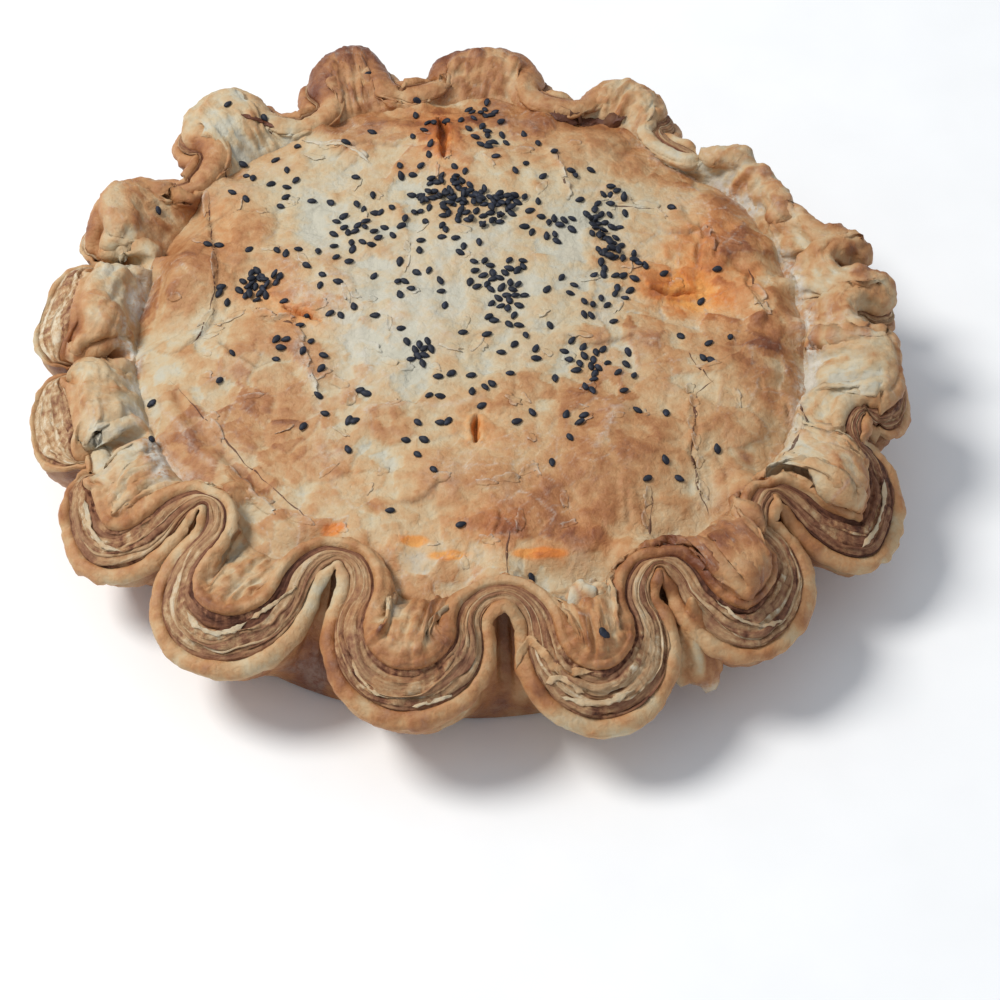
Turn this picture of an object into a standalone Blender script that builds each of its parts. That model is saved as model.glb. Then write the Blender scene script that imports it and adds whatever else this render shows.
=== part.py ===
"""A family-size pork pie in puff pastry, whole and uncut, standing on its flat base.

The pie is one solid. Its case stands on a round base, its lid is a low uneven dome, and where lid and
case meet, their pressed edges make a thick band that is crimped by hand into seventeen flutes. The band
swings out into a lobe, leaning outwards, and back into a tight upright bend against the lid.

Metres, +Z up. The origin lies on the table, under the middle of the pie's outline.
"""

import math

import bmesh
import bpy
import numpy as np

MM = 0.001

# The case and the lid
BASE_RADIUS = 106 * MM
BASE_CORNER = 3 * MM
LID_EDGE_RADIUS = 93.5 * MM
LID_EDGE_HEIGHT = 31 * MM
LID_SHOULDER_WIDTH = 8 * MM
LID_SHOULDER_HEIGHT = 39 * MM
LID_CROWN_HEIGHT = 47.5 * MM
LID_RINGS = 6

# The crimped band, at the middle of its cut edge. Where it curls tightly, its half thickness and its inner
# skin keep within these shares of the curl's radius, and a bend pushes the lid's edge in by its tuck
BEND_HEIGHT = 41 * MM
TIP_THICKNESS = 11.5 * MM
BEND_THICKNESS = 8 * MM
CURL_SHARE = 0.6
INNER_CURL_SHARE = 0.9
TIP_LEAN = math.radians(46)
BEND_LEAN = math.radians(6)
CUT_EDGE_CROWN = 0.8 * MM
CRIMP_RADIUS = 110 * MM
LOBE_SWEEP = math.radians(100)
BEND_TUCK = 6.5 * MM

# The skins that run from the band down to the lid's edge and to the base
INNER_HANDLE = 9 * MM
HOLLOW_HANDLE = 7 * MM
PUFF_RISE = 9 * MM
OUTER_HANDLE = 10 * MM
UNDERSIDE_HANDLE = 13 * MM
UNDERSIDE_RISE = 7 * MM
PLEAT_RISE = 14 * MM
INNER_STEPS = 4
OUTER_STEPS = 6

# One flute a row, anticlockwise from +X: the angle, reach and height of the lobe's tip, the angle and reach
# of the bend that follows it, in degrees and millimetres, the lobe's share of the flute's width, and how
# far its inside has puffed up, from 0, still pressed hollow, to 1, a full cushion
FLUTES = (
    (7.5, 118, 34, 13.5, 106, 0.60, 0.2),
    (18.5, 116, 36, 25.0, 107, 0.66, 0.2),
    (37.0, 108, 35, 52.5, 90, 0.75, 0.8),
    (63.0, 113, 35, 73.5, 92, 0.62, 0.4),
    (86.0, 117, 36, 101.0, 95, 0.62, 0.2),
    (109.0, 122, 38, 122.0, 94, 0.45, 0.3),
    (131.5, 121, 38, 145.5, 98, 0.50, 0.3),
    (154.0, 117, 36, 165.5, 104, 0.56, 0.9),
    (174.0, 120, 33, 184.5, 102, 0.66, 1.0),
    (192.5, 119, 26, 200.0, 104, 0.66, 0.7),
    (212.5, 122, 27, 220.5, 93, 0.66, 0.3),
    (234.0, 120, 30, 247.5, 89, 0.66, 0.2),
    (260.5, 120, 32, 274.5, 95, 0.66, 0.0),
    (286.5, 124, 28, 299.5, 97, 0.70, 0.5),
    (308.5, 125, 29, 322.5, 100, 0.68, 1.0),
    (329.0, 126, 25, 347.0, 105, 0.70, 1.0),
    (352.5, 119, 31, 360.0, 105, 0.66, 0.3),
)

# The lid's swells and hollows: centre in X and Y, rise, and the distance over which it fades, millimetres
LID_SWELLS = (
    (38, -52, 4.0, 15),
    (4, -66, 3.0, 17),
    (62, 9, -4.0, 15),
    (-78, 16, 3.5, 12),
    (-52, -34, -2.5, 20),
    (12, 52, 2.5, 22),
    (-38, 46, -1.5, 18),
    (70, -30, 2.0, 16),
)

STATIONS = 224
SAMPLES_A_HALF_LOBE = 24
STRAIGHTEST = 0.001
MERGE_DISTANCE = 0.001 * MM
SHARP_ANGLE = math.radians(50)
PASTRY_COLOUR = (0.68, 0.43, 0.20, 1.0)
PASTRY_ROUGHNESS = 0.6


def clear_scene():
    for thing in list(bpy.data.objects):
        bpy.data.objects.remove(thing, do_unlink=True)


def half_lobe(tip, bend, lobe_share, puff):
    """Points from a lobe's tip to one of its bends: an arc of the wide lobe, then one of the tight bend."""
    tip_angle, tip_reach, tip_height = tip
    bend_angle, bend_reach = bend
    span = (bend_angle - tip_angle) * CRIMP_RADIUS
    swing = tip_reach - bend_reach
    wide = span / math.sin(LOBE_SWEEP)
    deep = swing / (1 - math.cos(LOBE_SWEEP))
    turns = np.linspace(0, LOBE_SWEEP, SAMPLES_A_HALF_LOBE)
    lobe_along = lobe_share * wide * np.sin(turns)
    lobe_reach = tip_reach - lobe_share * deep * (1 - np.cos(turns))
    back = turns[-2::-1]
    bend_along = span - (1 - lobe_share) * wide * np.sin(back)
    bend_reaches = bend_reach + (1 - lobe_share) * deep * (1 - np.cos(back))
    along = np.concatenate([lobe_along, bend_along])
    reach = np.concatenate([lobe_reach, bend_reaches])
    lobeness = (reach - bend_reach) / swing
    height = BEND_HEIGHT + (tip_height - BEND_HEIGHT) * lobeness
    tucked = min(bend_reach - BEND_TUCK, LID_EDGE_RADIUS)
    lid_edge = tucked + (LID_EDGE_RADIUS - tucked) * lobeness
    angle = tip_angle + along / CRIMP_RADIUS
    return np.stack([angle, reach, height, lobeness, puff * lobeness, lid_edge], axis=1)


def band_line():
    """The band's middle line all the way round: angle, reach, height, lobeness, puff, radius of the lid's
    edge, and angle on the base.

    Lobeness is 1 at a lobe's tip and 0 at a bend, which pushes the lid's edge in. The stations are equally
    far apart along the band, and the angles on the base go evenly from bend to bend, so the skins between
    them gather into pleats.
    """
    tips = [(math.radians(row[0]), row[1] * MM, row[2] * MM) for row in FLUTES]
    bends = [(math.radians(row[3]), row[4] * MM) for row in FLUTES]
    turn = 2 * math.pi
    pieces = []
    base_angles = []
    for index, tip in enumerate(tips):
        before = bends[index - 1]
        if index == 0:
            before = (before[0] - turn, before[1])
        after = bends[index]
        lobe_share, puff = FLUTES[index][5:]
        rising = half_lobe(tip, before, lobe_share, puff)[::-1]
        falling = half_lobe(tip, after, lobe_share, puff)[1:-1]
        whole = np.concatenate([rising, falling])
        plan = whole[:, 1:2] * np.stack([np.cos(whole[:, 0]), np.sin(whole[:, 0])], axis=1)
        end = after[1] * np.array([[math.cos(after[0]), math.sin(after[0])]])
        steps = np.linalg.norm(np.diff(np.concatenate([plan, end]), axis=0), axis=1)
        share = np.concatenate([[0], np.cumsum(steps)[:-1]]) / steps.sum()
        pieces.append(whole)
        base_angles.append(before[0] + share * (after[0] - before[0]))
    line = np.concatenate(pieces)
    base = np.concatenate(base_angles)
    closed = np.concatenate([line, line[:1] + [[turn, 0, 0, 0, 0, 0]]])
    base = np.concatenate([base, base[:1] + turn])
    plan = closed[:, 1:2] * np.stack([np.cos(closed[:, 0]), np.sin(closed[:, 0])], axis=1)
    lengths = np.concatenate([[0], np.cumsum(np.linalg.norm(np.diff(plan, axis=0), axis=1))])
    wanted = np.arange(STATIONS) * lengths[-1] / STATIONS
    columns = [np.interp(wanted, lengths, values) for values in (*closed.T, base)]
    return np.stack(columns, axis=1)


def bezier(start, first, second, end, steps):
    """The points strictly between the ends of a cubic curve."""
    points = []
    for step in range(1, steps + 1):
        t = step / (steps + 1)
        s = 1 - t
        points.append(s**3 * start + 3 * s * s * t * first + 3 * s * t * t * second + t**3 * end)
    return points


def lid_height(x, y):
    """The lid's height at a place inside its shoulder: a low dome with its swells and hollows."""
    share = min(math.hypot(x, y) / (LID_EDGE_RADIUS - LID_SHOULDER_WIDTH), 1)
    height = LID_SHOULDER_HEIGHT + (LID_CROWN_HEIGHT - LID_SHOULDER_HEIGHT) * (1 - share**2)
    for centre_x, centre_y, rise, spread in LID_SWELLS:
        away = math.hypot(x - centre_x * MM, y - centre_y * MM) / (spread * MM)
        height += rise * MM * math.exp(-away * away)
    return height


def section(angle, reach, height, lobeness, puff, lid_edge, base_angle, along, curl):
    """The points of one section, from the base's middle over the band to the lid's crown.

    Where the band curls tighter than it is thick, it is squeezed to a share of the curl's radius.
    """
    outward = np.array([along[1], -along[0], 0.0])
    up = np.array([0.0, 0.0, 1.0])
    lean = BEND_LEAN + (TIP_LEAN - BEND_LEAN) * lobeness
    rising = math.cos(lean) * up + math.sin(lean) * outward
    across = math.cos(lean) * outward - math.sin(lean) * up
    thickness = BEND_THICKNESS + (TIP_THICKNESS - BEND_THICKNESS) * lobeness
    half = min(thickness / 2, CURL_SHARE * curl / math.cos(lean))
    middle = np.array([reach * math.cos(angle), reach * math.sin(angle), height])
    outer_corner = middle + across * half
    inner_corner = middle - across * half

    radial = np.array([math.cos(base_angle), math.sin(base_angle), 0.0])
    foot = radial * BASE_RADIUS + up * BASE_CORNER
    rim = radial * lid_edge + up * LID_EDGE_HEIGHT
    outer_first = outer_corner - OUTER_HANDLE * up
    rise = PLEAT_RISE + (UNDERSIDE_RISE - PLEAT_RISE) * lobeness
    outer_second = foot + UNDERSIDE_HANDLE * lobeness * radial + rise * up
    inner_pull = PUFF_RISE * puff * (up - across) / 2 - INNER_HANDLE * rising
    room = INNER_CURL_SHARE * curl - half * math.cos(lean)
    inner_pull += max(-inner_pull.dot(outward) - max(room, 0), 0) * outward
    inner_first = inner_corner + inner_pull
    inner_second = rim + HOLLOW_HANDLE * lobeness * radial + PUFF_RISE * puff * up

    points = [np.zeros(3), radial * (BASE_RADIUS - BASE_CORNER), foot]
    points += bezier(foot, outer_second, outer_first, outer_corner, OUTER_STEPS)
    points += [outer_corner, middle + rising * CUT_EDGE_CROWN, inner_corner]
    points += bezier(inner_corner, inner_first, inner_second, rim, INNER_STEPS)
    points.append(rim)
    for ring in range(LID_RINGS, 0, -1):
        flat = radial * (lid_edge - LID_SHOULDER_WIDTH) * ring / LID_RINGS
        points.append(flat + up * lid_height(flat[0], flat[1]))
    points.append(up * lid_height(0, 0))
    return points


def all_sections():
    line = band_line()
    plan = line[:, 1:2] * np.stack([np.cos(line[:, 0]), np.sin(line[:, 0])], axis=1)
    chord = np.roll(plan, -1, axis=0) - np.roll(plan, 1, axis=0)
    length = np.linalg.norm(chord, axis=1)
    along = chord / length[:, None]
    change = np.roll(along, -1, axis=0) - np.roll(along, 1, axis=0)
    curl = length / np.maximum(np.linalg.norm(change, axis=1), STRAIGHTEST)
    return [section(*row, direction, radius) for row, direction, radius in zip(line, along, curl)]


def pie_mesh():
    """A profile turned about Z, whose points then move to their places in each section."""
    sections = all_sections()
    profile = bmesh.new()
    row_of = profile.verts.layers.int.new("row")
    chain = []
    for row, point in enumerate(sections[0]):
        vertex = profile.verts.new((math.hypot(point[0], point[1]), 0, point[2]))
        vertex[row_of] = row
        chain.append(vertex)
    edges = [profile.edges.new(pair) for pair in zip(chain, chain[1:])]
    bmesh.ops.spin(
        profile,
        geom=chain + edges,
        cent=(0, 0, 0),
        axis=(0, 0, 1),
        angle=2 * math.pi,
        steps=STATIONS,
        use_merge=True,
    )
    bmesh.ops.remove_doubles(profile, verts=profile.verts, dist=MERGE_DISTANCE)
    for vertex in profile.verts:
        turned = math.atan2(vertex.co.y, vertex.co.x) / (2 * math.pi)
        station = round(turned * STATIONS) % STATIONS
        vertex.co = sections[station][vertex[row_of]]
    bmesh.ops.recalc_face_normals(profile, faces=profile.faces)
    return profile


def centre_outline(shape):
    """Moves the mesh so that its outline is centred on the origin in X and Y."""
    places = np.array([vertex.co for vertex in shape.verts])
    middle = (places.min(axis=0) + places.max(axis=0)) / 2
    bmesh.ops.translate(shape, verts=shape.verts, vec=(-middle[0], -middle[1], 0))


def pastry_material():
    material = bpy.data.materials.new("baked_pastry")
    material.use_nodes = True
    surface = material.node_tree.nodes["Principled BSDF"]
    surface.inputs["Base Color"].default_value = PASTRY_COLOUR
    surface.inputs["Roughness"].default_value = PASTRY_ROUGHNESS
    surface.inputs["Metallic"].default_value = 0.0
    return material


def main():
    clear_scene()
    shape = pie_mesh()
    centre_outline(shape)
    mesh = bpy.data.meshes.new("pie")
    shape.to_mesh(mesh)
    shape.free()
    mesh.shade_smooth()
    mesh.set_sharp_from_angle(angle=SHARP_ANGLE)
    mesh.materials.append(pastry_material())
    pie = bpy.data.objects.new("pie", mesh)
    bpy.context.scene.collection.objects.link(pie)


main()
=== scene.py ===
# %% [markdown]
# # A pork pie in puff pastry
#
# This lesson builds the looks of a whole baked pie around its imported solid. The solid has the right size
# and the right number of crimps, but it is smooth. A real pie is all surface: a case of pastry, a rim whose
# cut edge shows its layers, a blistered lid with four steam slits, and a scatter of black seeds.
#
# The pie could be sculpted by hand, but then nothing could be measured or changed. Here every surface
# follows a rule: a grid is bent into a ring or a disc, and its points are moved to where the rule says.

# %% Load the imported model
import itertools
import math

import bmesh
import bpy
import numpy as np
from mathutils import Matrix, Vector
from mathutils.bvhtree import BVHTree


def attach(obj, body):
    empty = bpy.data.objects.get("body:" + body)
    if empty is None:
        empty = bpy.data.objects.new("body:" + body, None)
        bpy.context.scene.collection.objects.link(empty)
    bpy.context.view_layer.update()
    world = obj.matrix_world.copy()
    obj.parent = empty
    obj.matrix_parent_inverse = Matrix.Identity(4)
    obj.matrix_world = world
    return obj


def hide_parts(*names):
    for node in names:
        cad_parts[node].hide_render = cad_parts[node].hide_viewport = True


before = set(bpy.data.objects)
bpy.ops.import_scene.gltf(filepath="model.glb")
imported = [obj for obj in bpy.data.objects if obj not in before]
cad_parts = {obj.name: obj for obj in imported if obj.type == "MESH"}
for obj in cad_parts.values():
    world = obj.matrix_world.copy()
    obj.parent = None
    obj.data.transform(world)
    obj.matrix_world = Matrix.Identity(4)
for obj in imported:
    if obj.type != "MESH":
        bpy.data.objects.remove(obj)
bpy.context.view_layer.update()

MM = 0.001
TAU = 2 * math.pi
UP = np.array([0.0, 0.0, 1.0])
base_ring = np.array([v.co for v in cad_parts["pie"].data.vertices if v.co.z < 0.1 * MM])
RING_CENTRE = (base_ring.max(axis=0) + base_ring.min(axis=0)) / 2
print("the base's middle lies at", (RING_CENTRE / MM).round(2), "mm")

# %% [markdown]
# ## The camera
#
# The camera comes first, because a few pieces are placed by where they show in the picture. It looks down
# at about fifty degrees from 0.7 m away, through a long lens. A ray through a pixel of the 1000-pixel
# picture then finds the surface that the pixel shows.

# %% Camera
CAMERA_AT = Vector((0, -476.42, 554.12)) * MM + Vector(RING_CENTRE)
CAMERA_TURN = Vector((0.01056, 0.62665, -0.77923)).to_track_quat("-Z", "Y")
SENSOR, LENS, PICTURE = 36, 90.865, 1000
lens = bpy.data.cameras.new("camera")
lens.sensor_width, lens.lens = SENSOR, LENS
camera = bpy.data.objects.new("camera", lens)
camera.location = CAMERA_AT
camera.rotation_euler = CAMERA_TURN.to_euler()
bpy.context.scene.collection.objects.link(camera)
bpy.context.scene.camera = camera


def sight(px, py):
    """The direction of the camera's ray through a pixel."""
    step = SENSOR / LENS / PICTURE
    return (CAMERA_TURN @ Vector(((px - PICTURE / 2) * step, (PICTURE / 2 - py) * step, -1))).normalized()


# %% [markdown]
# ## Noise
#
# Pastry is uneven at every scale, so most steps below need a smooth random field. Blender's noise textures
# exist only while rendering; a mesh needs the numbers now. This one hashes the corners of a lattice to
# random values and blends them. Stacked at finer sizes it is rough; folded at zero it makes round humps with
# sharp valleys, as wrinkled skin has; and the nearest of many scattered points gives flakes.

# %% Noise over points in millimetres
HASH_STEPS = (73856093, 19349663, 83492791, 2654435761)
HASH_MIXES = ((13, 1274126177), (11, 668265263))
LOW_BITS = 0x7FFFFFFF


def scatter(x, y, z, seed):
    """A random value from -1 to 1 for each place on a lattice."""
    mixed = x * HASH_STEPS[0] ^ y * HASH_STEPS[1] ^ z * HASH_STEPS[2] ^ (seed * HASH_STEPS[3])
    for shift, factor in HASH_MIXES:
        mixed = ((mixed ^ (mixed >> shift)) * factor) & LOW_BITS
    return mixed / (LOW_BITS // 2) - 1


def noise(points, size, seed):
    """Smooth noise from -1 to 1, in lumps about `size` millimetres apart."""
    places = np.asarray(points, float) / size
    corner = np.floor(places).astype(np.int64)
    part = places - corner
    part = part * part * (3 - 2 * part)
    total = np.zeros(places.shape[:-1])
    for offset in itertools.product((0, 1), repeat=3):
        x, y, z = np.moveaxis(corner + offset, -1, 0)
        total += np.prod(np.where(offset, part, 1 - part), axis=-1) * scatter(x, y, z, seed)
    return total


def rough(points, size, seed, octaves=3):
    """Noise stacked at `size` and finer, also about -1 to 1."""
    total = sum(noise(points, size / 2**n, seed + n) / 2**n for n in range(octaves))
    return total / (2 - 2 ** (1 - octaves)) * 1.5


def creased(points, size, seed, octaves=2):
    """Round humps with sharp valleys between them, from about -0.6 to 1."""
    total = sum(np.abs(noise(points, size / 2**n, seed + n)) / 2**n for n in range(octaves))
    return total / (2 - 2 ** (1 - octaves)) * 2.4 - 0.6


def flakes(x, y, size, seed):
    """Irregular flakes about `size` across: each one's value from -1 to 1, and how far in from its edge."""
    first, second = np.full(x.shape, 9.0), np.full(x.shape, 9.0)
    value = np.zeros(x.shape)
    column, row = np.floor(x / size).astype(np.int64), np.floor(y / size).astype(np.int64)
    for right, up in itertools.product((-1, 0, 1), repeat=2):
        a, b = column + right, row + up
        middle_x = a + 0.5 + 0.45 * scatter(a, b, 0 * a, seed)
        middle_y = b + 0.5 + 0.45 * scatter(a, b, 0 * a, seed + 1)
        away = np.hypot(x / size - middle_x, y / size - middle_y)
        nearest = away < first
        second = np.where(nearest, first, np.minimum(second, away))
        value = np.where(nearest, scatter(a, b, 0 * a, seed + 2), value)
        first = np.where(nearest, away, first)
    return value, (second - first) * size


def smooth(low, high, x):
    """0 below low, 1 above high, and a smooth S between."""
    t = np.clip((x - low) / (high - low), 0, 1)
    return t * t * (3 - 2 * t)


def evened(values, window):
    """A moving average over a closed row of values."""
    reach = max(int(window / 2), 1)
    wrapped = np.concatenate([values[-reach:], values, values[:reach]])
    return np.convolve(wrapped, np.ones(2 * reach + 1) / (2 * reach + 1), "valid")


def bell(away, half):
    """1 at nought, and falling off like a bell to either side."""
    return np.exp(-((away / half) ** 2))


def between(degrees, starts, full, fades, over):
    """1 between the two middle angles, 0 outside the outer two, and a smooth S on either side."""
    return smooth(starts, full, degrees) * smooth(over, fades, degrees)


# A surface is eased down from the first height on, and has the second number of millimetres to level out
CAP_START, CAP_ROOM = 43.0, 3.9


def capped(sections):
    """Tall places eased down, so that nothing stands above the pie's own height."""
    z = sections[..., 2]
    eased = CAP_START + CAP_ROOM * np.tanh((z - CAP_START) / CAP_ROOM)
    return np.concatenate([sections[..., :2], np.where(z > CAP_START, eased, z)[..., None]], axis=-1)


print("noise at three places:", noise([[0, 0, 0], [9, 4, 1], [30, 2, 8]], 10, 1).round(2))

# %% [markdown]
# ## The line that the crimped rim follows
#
# The baker pinches the rim between finger and thumb, so it swings out into lobes and back into tight bends.
# Each swing is two arcs of an ellipse, a wide one for the lobe and a tight one for the bend. This is the
# same rule, with nearly the same numbers, as the solid was made with, only drawn ten times as finely.
#
# No two lobes baked alike, so each flute also says how far its cut edge turned outwards, how much of the
# edge the top crust covers, how far its layers spread, and how its inside puffed, puckered and sank.

# %% The flutes and the band's sizes, in millimetres and degrees
# Tip angle, reach, height; bend angle, reach; the lobe's share; puff;
# lean, cover, spread, pad, pucker, opening, and the height of the seam between the lid and the pad
FLUTES = (
    (5.5, 119, 32, 10.5, 105, 0.60, 0.2, 76, 4.5, 2.0, 0.8, 0.3, 0.5, 34.0),
    (14.0, 116, 33, 19.8, 104, 0.60, 0.2, 80, 6.0, 1.0, 0.8, 0.3, 0.3, 34.0),
    (32.0, 105.5, 31, 49.0, 93, 0.72, 0.6, 80, 6.5, 1.0, 0.6, 0.5, 0.2, 36.5),
    (63.0, 111, 31, 73.5, 93, 0.62, 0.4, 80, 6.0, 1.0, 0.4, 0.5, 0.3, 37.0),
    (85.8, 115, 32, 101.0, 96, 0.66, 0.2, 80, 6.5, 1.0, 0.5, 0.3, 0.3, 37.5),
    (107.0, 122, 33, 120.5, 96, 0.62, 0.3, 78, 6.0, 1.0, 0.5, 0.3, 0.3, 37.5),
    (129.0, 121, 36, 144.5, 99, 0.58, 0.3, 74, 4.5, 1.0, 0.5, 0.4, 0.5, 37.0),
    (154.0, 119, 34, 164.0, 108, 0.74, 0.3, 66, 5.0, 2.0, 0.9, 0.2, 0.8, 35.0),
    (172.5, 119, 33, 184.5, 108, 0.84, 0.2, 42, 0.8, 7.0, 0.9, 0.2, 1.0, 34.5),
    (194.5, 119, 29, 202.0, 109, 0.82, 0.2, 38, 0.8, 5.5, 0.9, 0.2, 1.0, 34.5),
    (213.0, 121, 27, 222.2, 94, 0.68, 0.3, 46, 0.3, 3.5, 0.5, 0.5, 0.9, 36.0),
    (234.0, 122, 28, 247.5, 89, 0.68, 0.2, 46, 0.0, 5.0, 0.2, 0.5, 0.7, 34.5),
    (260.5, 120, 32, 274.5, 95, 0.66, 0.2, 46, 0.0, 3.0, 0.8, 0.9, 0.8, 36.0),
    (286.5, 124, 28, 298.3, 97, 0.67, 0.5, 46, 0.0, 5.0, 0.7, 0.6, 1.0, 36.0),
    (307.0, 123, 29, 321.0, 100, 0.68, 1.0, 46, 0.0, 3.5, 0.8, 0.5, 0.7, 36.0),
    (328.5, 125, 25, 340.8, 109, 0.70, 1.0, 46, 0.0, 3.5, 1.0, 0.4, 0.9, 35.0),
    (349.5, 121, 31, 360.4, 107, 0.68, 0.3, 70, 3.0, 3.0, 0.7, 0.3, 0.8, 34.0),
)
BASE_RADIUS, BASE_CORNER = 106, 3
LID_EDGE_RADIUS = 93.5
BEND_HEIGHT, BEND_TUCK, BEND_SEAM, GROOVE = 41, 6.5, 41.2, 3.0
TIP_THICKNESS, BEND_THICKNESS, BEND_EXTRA = 11.5, 8.0, 1.2
BEND_LEAN, ROLLED_LEAN = 6, 44
CURL_SHARE, INNER_CURL_SHARE = 0.6, 0.9
CRIMP_RADIUS, LOBE_SWEEP = 110, math.radians(100)
LIP_WIDTH, BEAD_WIDTH, CUT_LEAST = 2.2, 1.7, 1.4
# The flutes puffed up into cushions at the left, and the bends between them are pinched: thinner and more
# closed by these shares; lower, their seam lower, and covered further by these millimetres
PINCH_THIN, PINCH_CLOSED, PINCH_SINK, PINCH_SEAM, PINCH_COVER = 0.35, 0.85, 8, 2.5, 5
# A flute's values and the band's curl are evened over these millimetres
FLUTE_WINDOW, CURL_WINDOW = 14, 3


def half_lobe(tip, bend, flute):
    """Points from a lobe's tip to one of its bends: an arc of the wide lobe, then one of the tight bend."""
    span = (bend[0] - tip[0]) * CRIMP_RADIUS
    swing = tip[1] - bend[1]
    wide, deep = span / math.sin(LOBE_SWEEP), swing / (1 - math.cos(LOBE_SWEEP))
    share = flute[5]
    turns = np.linspace(0, LOBE_SWEEP, 40)
    back = turns[-2::-1]
    along = np.concatenate([share * wide * np.sin(turns), span - (1 - share) * wide * np.sin(back)])
    lobe_reach = tip[1] - share * deep * (1 - np.cos(turns))
    bend_reach = bend[1] + (1 - share) * deep * (1 - np.cos(back))
    reach = np.concatenate([lobe_reach, bend_reach])
    lobeness = (reach - bend[1]) / swing
    height = BEND_HEIGHT + (tip[2] - BEND_HEIGHT) * lobeness
    tucked = min(bend[1] - BEND_TUCK, LID_EDGE_RADIUS)
    lid_edge = tucked + (LID_EDGE_RADIUS - tucked) * lobeness
    shaped = (tip[0] + along / CRIMP_RADIUS, reach, height, lobeness, lid_edge)
    return np.stack([*shaped, *(value + 0 * reach for value in flute[6:])], axis=1)


def rolled_side(angle):
    """At the right the rim is one long roll: how much so, from 0 to 1, by the angle round the pie."""
    degrees = np.degrees(angle) % 360
    return np.clip(smooth(338, 352, degrees) + smooth(48, 36, degrees), 0, 1)


def plan_of(line):
    """A line of angles and reaches, seen from above."""
    return line[:, 1:2] * np.stack([np.cos(line[:, 0]), np.sin(line[:, 0])], axis=1)


def lengths_of(points):
    """How far along their line the points lie."""
    return np.concatenate([[0], np.cumsum(np.linalg.norm(np.diff(points, axis=0), axis=1))])


def band_line(stations):
    """The band's middle line, its stations equally far apart, with the angle on the base as a last column."""
    pieces, base_angles = [], []
    for index, flute in enumerate(FLUTES):
        tip = (math.radians(flute[0]), *flute[1:3])
        after = (math.radians(flute[3]), flute[4])
        before = (math.radians(FLUTES[index - 1][3]) - (0 if index else TAU), FLUTES[index - 1][4])
        whole = np.concatenate([half_lobe(tip, before, flute)[::-1], half_lobe(tip, after, flute)[1:]])
        run = lengths_of(plan_of(whole))
        pieces.append(whole[:-1])
        base_angles.append((before[0] + run / run[-1] * (after[0] - before[0]))[:-1])
    line = np.concatenate(pieces)
    base = np.concatenate(base_angles)
    again = line[:1] + [[TAU] + [0] * (line.shape[1] - 1)]
    closed, base = np.concatenate([line, again]), np.concatenate([base, base[:1] + TAU])
    lengths = lengths_of(plan_of(closed))
    wanted = np.arange(stations) * lengths[-1] / stations
    columns = [np.interp(wanted, lengths, values) for values in (*closed.T, base)]
    return np.stack(columns, axis=1), lengths[-1]


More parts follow.
